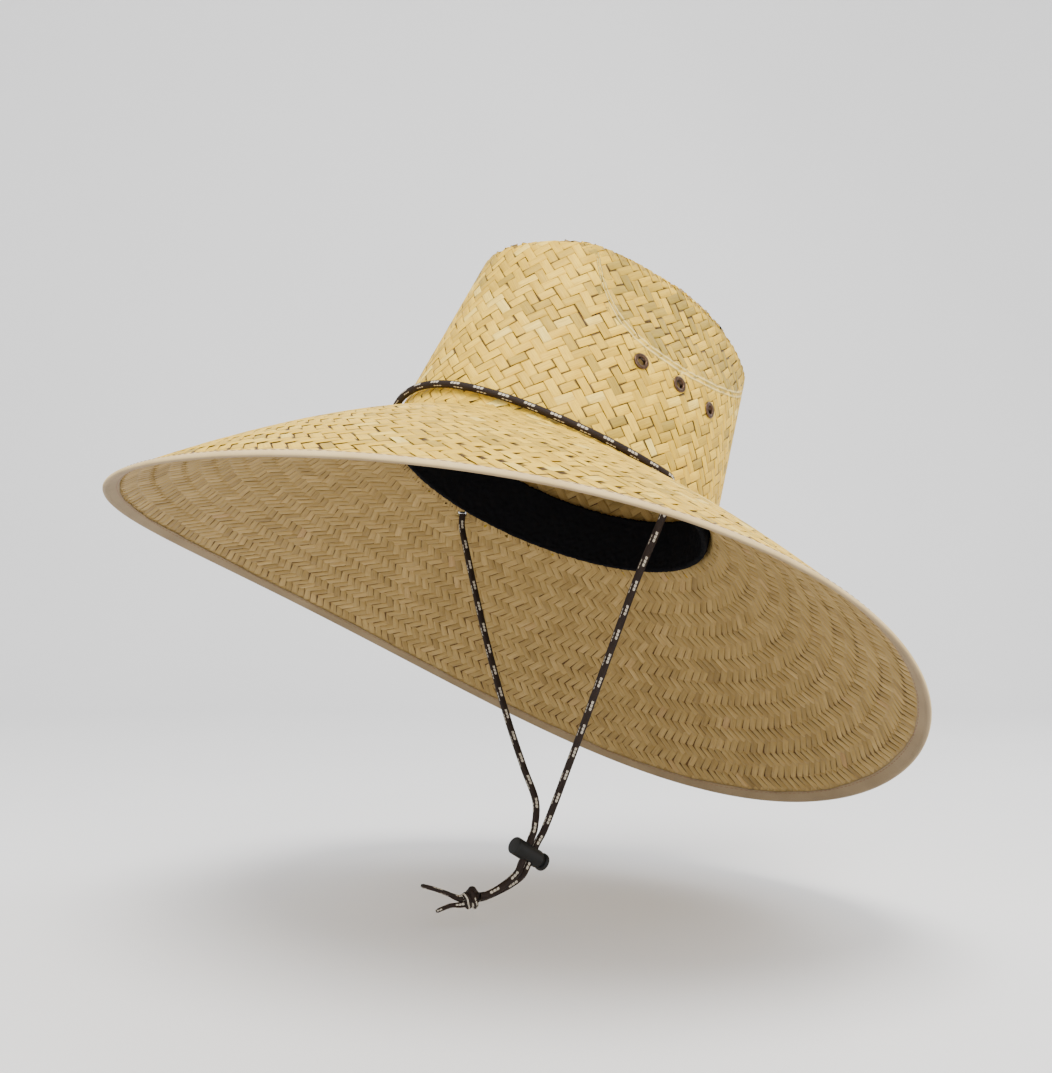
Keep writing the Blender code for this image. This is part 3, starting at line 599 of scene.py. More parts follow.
def makeFloats(name, surface, data, inside, material):
    # A float runs along the diagonal of its cell: flat where it shows, then dipping under its neighbours
    w, m = weave, shadeMarks
    u, v, pitchU, pitchV = data["u"], data["v"], data["pitchU"], data["pitchV"]
    tone, sign = data["tone"], -data["sign"] if inside else data["sign"]
    taper = -data["taper"] if inside else data["taper"]
    count = len(u)
    _, wayU, wayV, _ = surface(u, v)
    scaleU = np.linalg.norm(wayU, axis=-1)
    scaleV = np.linalg.norm(wayV, axis=-1)
    shown = np.hypot(pitchU, pitchV) / 2
    breadth = pitchU * pitchV / np.hypot(pitchU, pitchV) / 2 * chance.uniform(*w["breadths"], count)
    lean = sign * np.arctan2(pitchV, pitchU) + np.radians(chance.normal(0.0, w["leanSpread"], count))
    slipU, slipV = chance.normal(0.0, w["slipSpread"], (2, count))
    alongPlaces, alongHeights = w["alongInside" if inside else "along"]
    s = np.array(alongPlaces)[None, :, None]
    t = np.array(w["acrossPlaces"])[None, None, :]
    rows, columns = s.size, t.size
    along = s * (shown * chance.uniform(*w["lengths"], count))[:, None, None]
    narrow = 1 - np.abs(taper)[:, None, None] * np.clip(s * np.sign(taper)[:, None, None], 0, 1) ** 2
    across = t * breadth[:, None, None] * narrow
    turnCos, turnSin = np.cos(lean)[:, None, None], np.sin(lean)[:, None, None]
    stepU = along * turnCos - across * turnSin + slipU[:, None, None]
    stepV = along * turnSin + across * turnCos + slipV[:, None, None]
    placeU = u[:, None, None] + stepU / scaleU[:, None, None]
    placeV = v[:, None, None] + stepV / scaleV[:, None, None]
    crease, calm = np.ones(placeU.shape), 1.0
    if surface is topSurface:
        calm = np.clip((m["topFrom"] - topLevelPoint(placeU, placeV)[1]) / m["topOver"], 0.0, 1.0)
    if surface is strawSurface:
        placeV = np.maximum(placeV, -brimWidth(placeU) + w["edgeRoom"])
        crease = np.where(np.abs(dentShare(placeU)) < 1, placeV - dentEdge(placeU), 1.0)
        calm = np.clip((rimHeight(placeU) - strawShape["topRadius"] - placeV) / m["rimOver"], 0.0, 1.0)
    place, _, _, normal = surface(placeU, placeV)
    drop = np.where(np.abs(t) > 0.95, w["thickness"], np.where(np.abs(t) > 0.5, w["edgeDrop"], 0.0))
    cup = chance.normal(0.0, w["cupSpread"], count)[:, None, None] * t
    swing = w["swing"] * (w["insideSwing"] if inside else 1.0)
    height = w["lift"] + swing * np.array(alongHeights)[None, :, None] - drop + cup
    height = height - data["sink"][:, None, None]
    if inside:
        height = -strawShape["wall"] - height
    points = place + normal * height[..., None]
    grid = gridFaces(rows, columns)
    r = np.arange(rows - 1)
    left, right = r * columns, r * columns + columns - 1
    quads = np.concatenate([grid, np.stack([left, left + columns, right + columns, right], -1)])
    caps = np.stack([np.arange(columns), (rows - 1) * columns + np.arange(columns)[::-1]])
    if not inside:
        quads, caps = quads[:, ::-1], caps[:, ::-1]
    first = (np.arange(count) * rows * columns)[:, None, None]
    faces = [(quads[None] + first).reshape(-1, 4), (caps[None] + first).reshape(-1, columns)]
    strip = vectors(along + 0.05 * tone[:, None, None], across, chance.uniform(0, 1, count)[:, None, None])
    # Painted shade: at each end where the float goes under, along a part of one side, and along both sides
    # towards the ring where strips are added
    each = (count, 1, 1)
    ends = np.clip((np.abs(s) - m["endFrom"]) / m["endOver"], 0.0, 1.0)
    ends = ends * chance.uniform(*m["endDepths"], each)
    side = np.where(chance.uniform(0, 1, each) < 0.5, -1, 1)
    edge = np.where(np.abs(t) > 0.95, 1.0, m["middle"])
    flankDepth = chance.uniform(*m["flankDepths"], each) ** m["flankCurve"]
    flank = edge * ((t * side > 0) & (s * side > m["flankFrom"])) * flankDepth
    endMost, flankMost = m["inside" if inside else "outside"]
    dipShade = np.maximum(endMost * ends, flankMost * flank)
    nearRing = s * np.sign(taper)[:, None, None] > m["addedFrom"]
    added = edge * nearRing * chance.uniform(*m["addedDepths"], each)
    dipShade = np.maximum(dipShade, added * np.clip(np.abs(taper) * m["addedGrowth"], 0, 1)[:, None, None]) * calm
    values = {"strip": strip.reshape(-1, 3), "tone": np.broadcast_to(tone[:, None, None], dipShade.shape).ravel(),
              "dipShade": dipShade.ravel(), "crease": crease.ravel()}
    return newMesh(name, points.reshape(-1, 3), faces, material, values)


def gathered(rows):
    # One dictionary of arrays from many, row after row
    return {key: np.concatenate([row[key] for row in rows]) for key in rows[0]}


def picked(data, keep):
    return {key: values[keep] for key, values in data.items()}


def floatRow(u, v, pitchU, pitchV, sign, tone, sink=0.0, taper=0.0):
    # One row of floats, its shared values spread out to arrays
    values = {"u": u, "v": v, "pitchU": pitchU, "pitchV": pitchV, "sign": sign, "tone": tone, "sink": sink,
              "taper": taper}
    return {key: np.broadcast_to(value, u.shape) * 1.0 for key, value in values.items()}


def evenAngles(count, phase, runOf):
    # Angles that stand an even distance apart along a line of the straw, and that distance
    table = np.linspace(-pi, pi, 721)
    line = levelPoint(table, runOf(table))
    length = lengthsAlong(line)
    places = (np.arange(count) + phase) / count * length[-1]
    return np.interp(places, length, table), length[-1] / count


def frontSteepness(angles):
    # Above zero towards a dent's front end, where its edge climbs
    return np.clip(-dentShare(angles) - seam["steepFrom"], 0.0, 0.5)


def crownFloats():
    # Columns of floats that lean to one side and the other in turn, up to the dents and the top's rim
    w = weave
    angles, _ = evenAngles(w["columns"], 0.5, lambda angle: 0.03 + 0 * angle)
    order = np.arange(w["columns"])
    stripTones = chance.beta(0.9, 1.1, (2, 4 * w["columns"]))
    table = np.linspace(-pi, pi, 721)
    sign = np.where(order % 2 == 0, 1.0, -1.0)
    wallTop = rimHeight(angles) - strawShape["topRadius"]
    inDent = np.abs(dentShare(angles)) < seam["columnsTo"]
    limit = np.where(inDent, dentEdge(angles) + seam["columnsOver"],
                     wallTop + strawShape["topRadius"] * pi / 4)
    made = []
    for row in range(-1, 22):
        run = (row + 0.5 * (order % 2) + 0.25) * w["rowHeight"]
        line = levelPoint(table, min(max(row + 0.5, 0) * w["rowHeight"], 0.1) + 0 * table)
        around = stepLengths(line).sum() / w["columns"]
        strip = (order - sign * 2 * row).astype(int) % (4 * w["columns"])
        tone = tones["crown"][0] * stripTones[order % 2, strip]
        tone = tone + tones["crown"][1] * chance.beta(*tones["own"], w["columns"])
        sink = np.where((run >= limit) | (run < 0), w["filler"], 0.0)
        whole = floatRow(angles, run, around, w["rowHeight"], sign, tone, sink)
        reach = (seam["columnReach"] + seam["steepColumns"] * frontSteepness(angles)) * w["rowHeight"]
        made.append(picked(whole, (run < limit + reach) & (run > -0.6 * w["rowHeight"])))
    return gathered(made)


def dentFloats():
    # Inside the dents the weave turns: its rows run along the top's rim, and the floats that reach past
    # the dent's edge are sunk
    w = weave
    made = []
    for row in range(w["dentRows"]):
        drop = (row + 0.35) * w["rowHeight"]

        def runOf(angle, drop=drop):
            return rimHeight(angle) - strawShape["topRadius"] * (1 - pi / 4) - drop
        angles, around = evenAngles(w["dentColumns"], 0.5 * (row % 2), runOf)
        run = runOf(angles)
        over = run - dentEdge(angles)
        # The dent's floats take lower, darker tones from the ramp: painted shade in the recess
        tone = tones["dent"] * chance.beta(1.3, 2.2, len(run))
        sink = np.where(over < seam["rowsFrom"], w["filler"], 0.0)
        whole = floatRow(angles, run, around, w["rowHeight"], 1.0 if row % 2 else -1.0, tone, sink)
        lowest = -seam["rowsOver"] - seam["steepRows"] * frontSteepness(angles)
        made.append(picked(whole, (np.abs(dentShare(angles)) < seam["rowsTo"]) & (over > lowest)))
    return gathered(made)


def brimFloats(spacing, taper):
    # Rows of floats lie in rings. Strips are added at every second ring, and the floats narrow towards it,
    # more so near the edge, which opens the gaps and their painted shade marks there
    w = weave
    table = np.linspace(-pi, pi, 721)
    made = []
    for row in range(w["brimRows"]):
        share = (row + 0.5) / w["brimRows"]
        line = levelPoint(table, -(row // 2 * 2 + 1) / w["brimRows"] * brimWidth(table))
        count = int(round(stepLengths(line).sum() / spacing / 2)) * 2
        stripTones = chance.beta(1.3, 1.4, count)
        angles, around = evenAngles(count, 0.5 * (row % 2), lambda angle: -share * brimWidth(angle))
        tone = tones["brim"][0] * stripTones + tones["brim"][1] * chance.beta(*tones["own"], count)
        width = brimWidth(angles)
        made.append(floatRow(angles, -share * width, around, width / w["brimRows"],
                             1.0 if row % 2 else -1.0, tone, 0.0, -taper * (0.4 + 0.9 * share)))
    return gathered(made)


def matFloats():
    # The top's mat: straight columns across it, sunk where they reach over its rim
    pitch = weave["matPitch"]
    order = np.arange(-weave["matHalf"], weave["matHalf"] + 1)
    columnIndex, rowIndex = (part.ravel() for part in np.meshgrid(order, order, indexing="ij"))
    x = (columnIndex + 0.5) * pitch
    y = topMiddle + (rowIndex + 0.5 * (columnIndex % 2)) * pitch
    share = topLevelPoint(x, y)[1]
    beyond = (share - 1) * np.hypot(x, y - topMiddle) / np.maximum(share, 1e-6)
    tone = tones["mat"][0] + tones["mat"][1] * chance.beta(*tones["own"], len(x))
    sink = np.where(beyond > -0.0004, 0.45 * weave["filler"], 0.0)
    whole = floatRow(x, y, pitch, pitch, np.where(columnIndex % 2 == 0, 1.0, -1.0), tone, sink)
    return picked(whole, beyond < 0.0022)


# Holes for the eyelets and for the cord: middle, way through and radius of each

eyelet = {"angles": (72.0, 88.0, 105.0), "heights": (0.057, 0.058, 0.059), "flange": 0.0046,
          "barrel": 0.0030, "bore": 0.0024, "flangeThickness": 0.0007, "gap": 0.00030, "around": 40}
cordHole = {"out": 0.0045, "back": 0.0030, "radius": 0.0026}
tilt = Matrix.Rotation(-strawShape["tilt"], 4, "X")
plumb = tilt.inverted().to_3x3() @ Vector((0, 0, -1))


def cordHoleSpot(sign):
    # Middle of the brim's cord hole on the level hat: straight down from beside the crown's foot
    x = sign * (strawShape["halfWidth"] + cordHole["out"])
    angles = np.linspace(radians(80), radians(100), 81)
    runs = np.linspace(-0.012, 0.0, 121)
    gridAngle, gridRun = np.meshgrid(sign * angles, runs, indexing="ij")
    spots = levelPoint(gridAngle, gridRun).reshape(-1, 3)
    away = np.hypot(spots[:, 0] - x, spots[:, 1] - cordHole["back"])
    return Vector(spots[np.argmin(away)])


cordHoleSpots = {1: cordHoleSpot(1), -1: cordHoleSpot(-1)}
crownHoles, brimHoles = [], []
for sign in (1, -1):
    for angle, height in zip(eyelet["angles"], eyelet["heights"]):
        place, _, _, normal = strawSurface(np.array([sign * radians(angle)]), np.array([height]))
        crownHoles.append((Vector(place[0]), Vector(normal[0]), eyelet["barrel"]))
    brimHoles.append((tilt @ cordHoleSpots[sign], Vector((0, 0, 1)), cordHole["radius"]))


def rodCutter(holes):
    # A rod through every hole, all in one object
    shape = bmesh.new()
    for spot, axis, radius in holes:
        matrix = Matrix.Translation(spot) @ axis.to_track_quat("Z", "X").to_matrix().to_4x4()
        bmesh.ops.create_cone(shape, cap_ends=True, segments=32, depth=0.012, radius1=radius, radius2=radius,
                              matrix=matrix)
    return bmeshItem("rodCutter", shape)


def applyCut(item, cutter, overlapping=False):
    # Boolean difference, and the result kept as plain mesh
    made = item.modifiers.new("cut", "BOOLEAN")
    made.operation, made.solver, made.object = "DIFFERENCE", "EXACT", cutter
    made.use_self = overlapping
    bpy.context.view_layer.update()
    mesh = bpy.data.meshes.new_from_object(item.evaluated_get(bpy.context.evaluated_depsgraph_get()))
    item.modifiers.clear()
    item.data = mesh
    bpy.data.objects.remove(cutter)


def makeSheet(name, data, inside, material, holes):
    # The floats near a hole are a piece of their own, which is cut, so that the rest needs no cutting
    place = strawSurface(data["u"], data["v"])[0]
    spots = np.array([tuple(spot) for spot, _, _ in holes])
    near = (np.linalg.norm(place[:, None] - spots[None], axis=-1) < weave["nearHole"]).any(1)
    sheet = makeFloats(name, strawSurface, picked(data, ~near), inside, material)
    bored = makeFloats(name + "Bored", strawSurface, picked(data, near), inside, material)
    applyCut(bored, rodCutter(holes), overlapping=True)
    return sheet, bored


wall = gathered([crownFloats(), dentFloats()])
strawCrown, strawCrownBored = makeSheet("strawCrown", wall, False, outerStraw, crownHoles)
inner = picked(wall, wall["v"] > -0.001)
strawCrownInside, strawCrownInsideBored = makeSheet("strawCrownInside", inner, True, innerStrawShaded, crownHoles)
mat = matFloats()
strawTop = makeFloats("strawTop", topSurface, mat, False, outerStraw)
strawTopInside = makeFloats("strawTopInside", topSurface, mat, True, innerStrawShaded)
rings = brimFloats(*weave["brimTop"])
strawBrimTop, strawBrimTopBored = makeSheet("strawBrimTop", rings, False, outerStraw, brimHoles)
rings = brimFloats(*weave["brimUnder"])
strawBrimUnder, strawBrimUnderBored = makeSheet("strawBrimUnder", rings, True, innerStrawShaded, brimHoles)
print("stage: woven floats made,", len(wall["u"]), "on the crown,", len(rings["u"]), "under the brim")


# Underlay: the strips' hidden crossings as one closed sheet between the two faces, dark with painted shade

underlay = {"anglesRound": 200, "brimRows": 28, "wallRows": 26, "topRows": 10, "outer": 0.00058,
            "inner": 0.00088, "edgeRoom": 0.001, "topShare": 0.985, "paleReach": 0.007}


def makeUnderlay():
    # Rows of the straw's own surface from the brim's edge up to the top, sunk from both faces
    u = underlay
    angle = (fullTurn(u["anglesRound"]) - pi)[None, :]
    rim = rimHeight(angle)
    radius = strawShape["topRadius"]
    brimShares = np.linspace(-1, 0, u["brimRows"], endpoint=False)[:, None]
    brimRuns = brimShares * (brimWidth(angle) - u["edgeRoom"])
    wallRuns = np.linspace(0, 1, u["wallRows"], endpoint=False)[:, None] * (rim + radius * (pi / 2 - 1))
    rimRun = rim + radius * (pi / 2 - 1)
    flat = levelPoint(angle, rimRun)
    reach = np.hypot(flat[..., 0], flat[..., 1] - strawShape["lean"] * rim)
    topRuns = rimRun + np.linspace(0, u["topShare"], u["topRows"])[:, None] * reach
    runs = np.concatenate([brimRuns, wallRuns, topRuns])
    place, _, _, normal = strawSurface(np.broadcast_to(angle, runs.shape), runs)
    rows, columns = runs.shape
    outer = place - normal * u["outer"]
    inner = place - normal * u["inner"]
    outerPole = outer[-1].mean(0)[None]
    innerPole = inner[-1].mean(0)[None]
    points = np.concatenate([outer.reshape(-1, 3), inner.reshape(-1, 3), outerPole, innerPole])
    half = rows * columns
    outerFaces = gridFaces(rows, columns, False, True)
    innerFaces = outerFaces[:, ::-1] + half
    c = np.arange(columns)
    following = (c + 1) % columns
    edgeFaces = np.stack([following, c, c + half, following + half], -1)
    top = (rows - 1) * columns
    outerCap = np.stack([top + c, top + following, np.full(columns, 2 * half)], -1)
    innerCap = np.stack([half + top + following, half + top + c, np.full(columns, 2 * half + 1)], -1)
    pale = np.exp(-((runs - rimRun) / u["paleReach"]) ** 2).ravel()
    return newMesh("strawUnderlay", points, [outerFaces, innerFaces, edgeFaces, outerCap, innerCap],
                   underlayShadeStraw, {"pale": np.concatenate([pale, pale, [0.0, 0.0]])})


strawUnderlay = makeUnderlay()
applyCut(strawUnderlay, rodCutter(crownHoles + brimHoles))
print("stage: underlay made")


# Edge tape, folded over the brim's edge and sewn through

tape = {"width": 0.0072, "topWidth": 0.0038, "gap": 0.0001, "thickness": 0.0004, "anglesRound": 640,
        "stitchPitch": 0.0042, "stitchIn": 0.0011, "stitchRadius": 0.00019, "freeEdge": 0.0004}


def edgeFrames(angle):
    # Brim's edge with its outward, upward and along directions
    place, around, upward, normal = strawSurface(angle, -brimWidth(angle) + 0.0003)
    along = around / np.linalg.norm(around, axis=-1, keepdims=True)
    outward = np.cross(along, normal)
    return place, outward, normal, along


def makeTape():
    # A folded section, rounded at the fold and thinned at its two free edges, carried round the edge
    t = tape
    count = t["anglesRound"]
    angle = fullTurn(count) - pi
    place, outward, normal, _ = edgeFrames(angle)
    top, under = t["gap"], -strawShape["wall"] - t["gap"]
    middle = (top + under) / 2
    turn = np.linspace(-pi / 2, pi / 2, 8)
    innerRadius, outerRadius = (top - under) / 2, (top - under) / 2 + t["thickness"]
    outerOut = outerRadius * np.cos(turn) - innerRadius + t["gap"]
    innerOut = innerRadius * np.cos(turn) - innerRadius + t["gap"]
    outerUp, innerUp = middle + outerRadius * np.sin(turn), middle + innerRadius * np.sin(turn)
    topWidth = t["topWidth"]
    topOut = np.array([-topWidth * 0.35, -topWidth * 0.7, -topWidth + t["freeEdge"]])
    flatOut = np.array([-t["width"] * 0.35, -t["width"] * 0.7, -t["width"] + t["freeEdge"]])
    flat = np.ones(3)
    roundTop = (top + 0.7 * t["thickness"], top + 0.25 * t["thickness"])
    sectionOut = np.concatenate([outerOut, topOut, [-topWidth, -topWidth], topOut[::-1], innerOut[::-1],
                                 flatOut, [-t["width"], -t["width"]], flatOut[::-1]])
    sectionUp = np.concatenate([outerUp, flat * (top + t["thickness"]), roundTop, flat * top, innerUp[::-1],
                                flat * under, (2 * middle - roundTop[1], 2 * middle - roundTop[0]),
                                flat * (under - t["thickness"])])
    # The free edges wander a little, being folded by hand
    wander = 0.00025 * np.sin(9 * angle + 1.0) + 0.0002 * np.sin(23 * angle) + 0.00012 * np.sin(57 * angle)
    out = sectionOut[None, :] + np.where(sectionOut < -topWidth * 0.5, 1.0, 0.0)[None, :] * wander[:, None]
    points = (place[:, None] + outward[:, None] * out[..., None]
              + normal[:, None] * sectionUp[None, :, None])
    distance = lengthsAlong(place)
    across = np.cumsum(np.concatenate([[0], np.hypot(np.diff(sectionOut), np.diff(sectionUp))]))
    strip = vectors(distance[:, None], across[None, :], 0.0)
    # How far a place lies on the tape's underside, where painted shade darkens it
    below = np.broadcast_to(np.clip(0.5 - (sectionUp - middle) / 0.0008, 0.0, 1.0), (count, len(sectionUp)))
    faces = gridFaces(count, len(sectionOut), True, True)
    return newMesh("edgeTape", points.reshape(-1, 3), [faces], tapeCloth,
                   {"strip": strip.reshape(-1, 3), "below": below.ravel()})


edgeTape = makeTape()


def beadRun(name, centres, ways, sides, lengths, radii, material, rows=4, around=5):
    # Small closed beads, each with an elliptical profile along its own way
    along = np.linspace(-1, 1, rows)
    profile = np.sqrt(np.maximum(1 - along ** 2, 0.0))
    profile[[0, -1]] = 0.25
    turn = fullTurn(around)
    third = np.cross(ways, sides)
    count = len(centres)
    points = (centres[:, None, None] + ways[:, None, None] * (along[None, :, None] * lengths)[..., None]
              + (sides[:, None, None] * np.cos(turn)[None, None, :, None]
                 + third[:, None, None] * np.sin(turn)[None, None, :, None])
              * (profile[None, :, None] * radii)[..., None])
    grid = gridFaces(rows, around, False, True)
    caps = np.stack([np.arange(around), (rows - 1) * around + np.arange(around)[::-1]])
    first = (np.arange(count) * rows * around)[:, None, None]
    faces = [(grid[None, :, ::-1] + first).reshape(-1, 4), (caps[None] + first).reshape(-1, around)]
    return newMesh(name, points.reshape(-1, 3), faces, material)


def makeStitches(name, up, width):
    t = tape
    table = np.linspace(-pi, pi, 2001)
    place = edgeFrames(table)[0]
    length = lengthsAlong(place)
    count = int(length[-1] / t["stitchPitch"])
    angle = np.interp((np.arange(count) + 0.5) / count * length[-1], length, table)
    place, outward, normal, along = edgeFrames(angle)
    centres = place - outward * (width - t["stitchIn"]) + normal * up
    return beadRun(name, centres, along, outward, 0.36 * t["stitchPitch"], t["stitchRadius"], stitchThread)


tapeTop, tapeUnder = tape["gap"] + tape["thickness"], -strawShape["wall"] - tape["gap"] - tape["thickness"]
stitchesTop = makeStitches("stitchesTop", tapeTop, tape["topWidth"])
stitchesUnder = makeStitches("stitchesUnder", tapeUnder, tape["width"])
print("stage: edge tape and stitches made")


# Terry sweatband

band = {"height": 0.030, "thickness": 0.0032, "hang": 0.0035, "gap": 0.0004, "anglesRound": 500,
        "faceRows": 24, "loopDepth": 0.00055}


def makeSweatband():
    # A rounded oblong section carried round the crown's oval, pushed out in a net of small bumps
    b = band
    count = b["anglesRound"]
    angle = (fullTurn(count) - pi)[:, None]
    rounding = 0.3 * b["thickness"]
    turn = np.linspace(0, pi / 2, 4)
    corners = ((b["thickness"] - rounding, b["height"] - rounding, 0), (rounding, b["height"] - rounding, 1),
               (rounding, rounding - b["hang"], 2), (b["thickness"] - rounding, rounding - b["hang"], 3))
    depth, height = [], []
    for cornerDepth, cornerHeight, quarter in corners:
        depth.append(cornerDepth + rounding * np.cos(turn + quarter * pi / 2))
        height.append(cornerHeight + rounding * np.sin(turn + quarter * pi / 2))
    rows = b["faceRows"]
    straight = np.linspace(0, 1, rows + 2)[1:-1] * (b["height"] + b["hang"] - 2 * rounding)
    depth = np.concatenate([depth[0], depth[1], np.zeros(rows), depth[2], depth[3],
                            np.full(rows, b["thickness"])])
    height = np.concatenate([height[0], height[1], b["height"] - rounding - straight,
                             height[2], height[3], rounding - b["hang"] + straight])
    outward = planNormal(angle)
    base = crownWall(angle, np.maximum(height, 0.0)[None, :])
    base = base + vectors(0.0, 0.0, np.minimum(height, 0.0)[None, :])
    inset = strawShape["wall"] + b["gap"]
    depthWay = np.roll(depth, -1) - np.roll(depth, 1)
    heightWay = np.roll(height, -1) - np.roll(height, 1)
    size = np.hypot(depthWay, heightWay)
    pushDepth, pushUp = heightWay / size, -depthWay / size
    bumps = b["loopDepth"] * (chance.uniform(0.0, 1.0, (count, len(depth))) ** 1.5 * 1.6 - 0.5)
    free = np.clip(depth / b["thickness"] * 2 - 0.1, 0.0, 1.0)[None, :]
    bumps = np.where(bumps > 0, bumps * free, bumps)
    place = (base - outward * (inset + depth[None, :] + bumps * pushDepth[None, :])[..., None]
             + vectors(0.0, 0.0, bumps * pushUp[None, :]))
    faces = gridFaces(count, len(depth), True, True)[:, ::-1]
    return newMesh("terrySweatband", tipBack(place).reshape(-1, 3), [faces], terryCloth)


terrySweatband = makeSweatband()
print("stage: sweatband made")


# Eyelets, turned about the way out of the straw

def turnedSurface(name, outline, place, axis, around, material):
    # A closed outline of radius and height pairs, carried round an axis
    outline = np.array(outline)
    turn = fullTurn(around)[:, None]
    matrix = np.array(Vector(axis).to_track_quat("Z", "X").to_matrix())
    radius, height = outline[None, :, 0], outline[None, :, 1]
    spots = vectors(radius * np.cos(turn), radius * np.sin(turn), height)
    points = spots @ matrix.T + np.array(place)
    faces = gridFaces(around, len(outline), True, True)
    item = newMesh(name, points.reshape(-1, 3), [faces], material)
    sharpen(item, 50.0)
    return item


def sharpen(item, degreesBend):
    item.data.set_sharp_from_angle(angle=radians(degreesBend))


def makeEyelet(name, angle, height):
    # Two domed flanges joined by a barrel, a little clear of the straw on every side
    e = eyelet
    place, _, _, normal = strawSurface(np.array([angle]), np.array([height]))
    low, high = e["gap"], e["gap"] + e["flangeThickness"]
    back = -strawShape["wall"] - e["gap"]
    turn = np.linspace(0, pi, 9)
    domeMiddle, domeReach = (e["bore"] + e["flange"]) / 2, (e["flange"] - e["bore"]) / 2
    dome = [(domeMiddle - domeReach * cos(t), low + e["flangeThickness"] * sin(t) ** 0.8) for t in turn]
    backDome = [(domeMiddle + 0.9 * domeReach * cos(t), back - e["flangeThickness"] * sin(t) ** 0.8)
                for t in turn]
    outline = [(e["bore"], back + 0.1 * high)] + [(e["bore"], low - 0.0001)] + dome
    outline += [(e["flange"], low - 0.00005), (e["barrel"], low - 0.00005), (e["barrel"], back + 0.00005)]
    outline += backDome
    return turnedSurface(name, outline[::-1], place[0], normal[0], e["around"], bronzeMetal)


eyelets = []
for side, sign in (("Left", 1), ("Right", -1)):
    for place, angle, height in zip(("Front", "Middle", "Back"), eyelet["angles"], eyelet["heights"]):
        made = makeEyelet(f"eyelet{side}{place}", sign * radians(angle), height)
        eyelets.append((made, f"eyelet_{side.lower()}_{place.lower()}"))
print("stage: eyelets made")


# Chin cord. Routes are the ones that the solids follow, in metres

cord = {
    "diameter": 0.0040, "gap": 0.0004, "slack": 0.0005,
    "bandLow": 0.0022, "bandRise": 0.0083, "bandCurve": 4, "slide": (40.0, 65.0), "slideOut": 0.0030,
    "slideDown": 0.0020, "sideAngle": 80, "archRise": 0.90,
    "archLead": 0.60, "archDrop": 0.35, "around": 28, "spacing": 0.00040,
    "plaits": 8, "plaitPitch": 0.0026, "relief": 0.00013, "tracerTwist": 60.0, "tracerWidth": 0.00045,
}
fleck = {
    "pitch": 0.0140,           # from one group of flecks to the next
    "bars": 3,                 # pale chevrons in a group
    "barPitch": 0.0020, "barLength": 0.00170,
    # bearing, shift along and half width of each line of flecks
    "lines": ((0.2, 0.0, 0.00075), (1.3, 0.0022, 0.00035), (3.1, 0.0070, 0.00075), (4.4, 0.0092, 0.00035)),
    "slant": 0.45,
}
strandRoutes = {
    1: [(0.0880, 0.0012, -0.0130), (0.0808, 0.0001, -0.0270), (0.0672, -0.0014, -0.0520),
        (0.0535, -0.0026, -0.0800), (0.0409, -0.0039, -0.1060), (0.0289, -0.0051, -0.1310),
        (0.0178, -0.0064, -0.1540), (0.0094, -0.0075, -0.1715)],
    -1: [(-0.0884, 0.0012, -0.0130), (-0.0824, 0.0001, -0.0270), (-0.0716, -0.0014, -0.0520),
         (-0.0592, -0.0026, -0.0800), (-0.0464, -0.0039, -0.1060), (-0.0328, -0.0051, -0.1310),
         (-0.0182, -0.0064, -0.1540), (-0.0064, -0.0075, -0.1710)],
}
tailRoute = [
    (-0.0008, -0.0232, -0.2080), (-0.0020, -0.0285, -0.2118), (-0.0036, -0.0360, -0.2153),
    (-0.0054, -0.0425, -0.2176),
]
tailTwist = (-18.0, -38.0, -54.0, -62.0)
tailSpread = 1.14
knotCentre = Vector((-0.0080, -0.0512, -0.2186))
cutEndRoutes = {
    "cutEndLong": [(-0.0104, -0.0650, -0.2140), (-0.0116, -0.0720, -0.2110), (-0.0126, -0.0792, -0.2085)],
    "cutEndShort": [(-0.0098, -0.0625, -0.2206), (-0.0102, -0.0670, -0.2214), (-0.0104, -0.0712, -0.2223)],
}
lock = {
    "centre": Vector((0.0, -0.0177, -0.198)), "lean": radians(30.5), "radius": 0.0048, "wall": 0.0010,
    "floor": 0.0012, "springRoom": 0.0051, "travel": 0.0020, "plungerGap": 0.0004, "web": 0.0010,
    "slotGap": 0.0005, "buttonRadius": 0.0048, "buttonThickness": 0.0028, "cornerShare": 0.22,
    "run": (-0.0150, -0.0075, 0.0, 0.0065), "spread": 0.0016,
}
knot = {
    "halfLength": 0.0048, "start": 0.3, "windings": 2.1, "reach": 0.0031, "waver": 0.0006,
    "drawnIn": 0.0012, "wrapWidth": 0.92, "tracers": (0.4, 3.5),
    "loopHalf": 0.0014, "loopLow": 0.0026, "loopRise": 0.0024, "loopWidth": 0.78,
}
halfPair = cord["diameter"] / 2 + cord["gap"] / 2
lockAxis = Vector((0, cos(lock["lean"]), -sin(lock["lean"])))
lockThrough = Vector((0, lockAxis.z, -lockAxis.y))
knotAxis = (knotCentre - Vector(tailRoute[-1])).normalized()


def pairSide(way, twist=0.0):
    # Direction across the pair of strands, square to their way and turned round it
    return Matrix.Rotation(radians(twist), 3, way) @ Vector((1, 0, 0)).cross(way).normalized()


knotSide = pairSide(knotAxis)


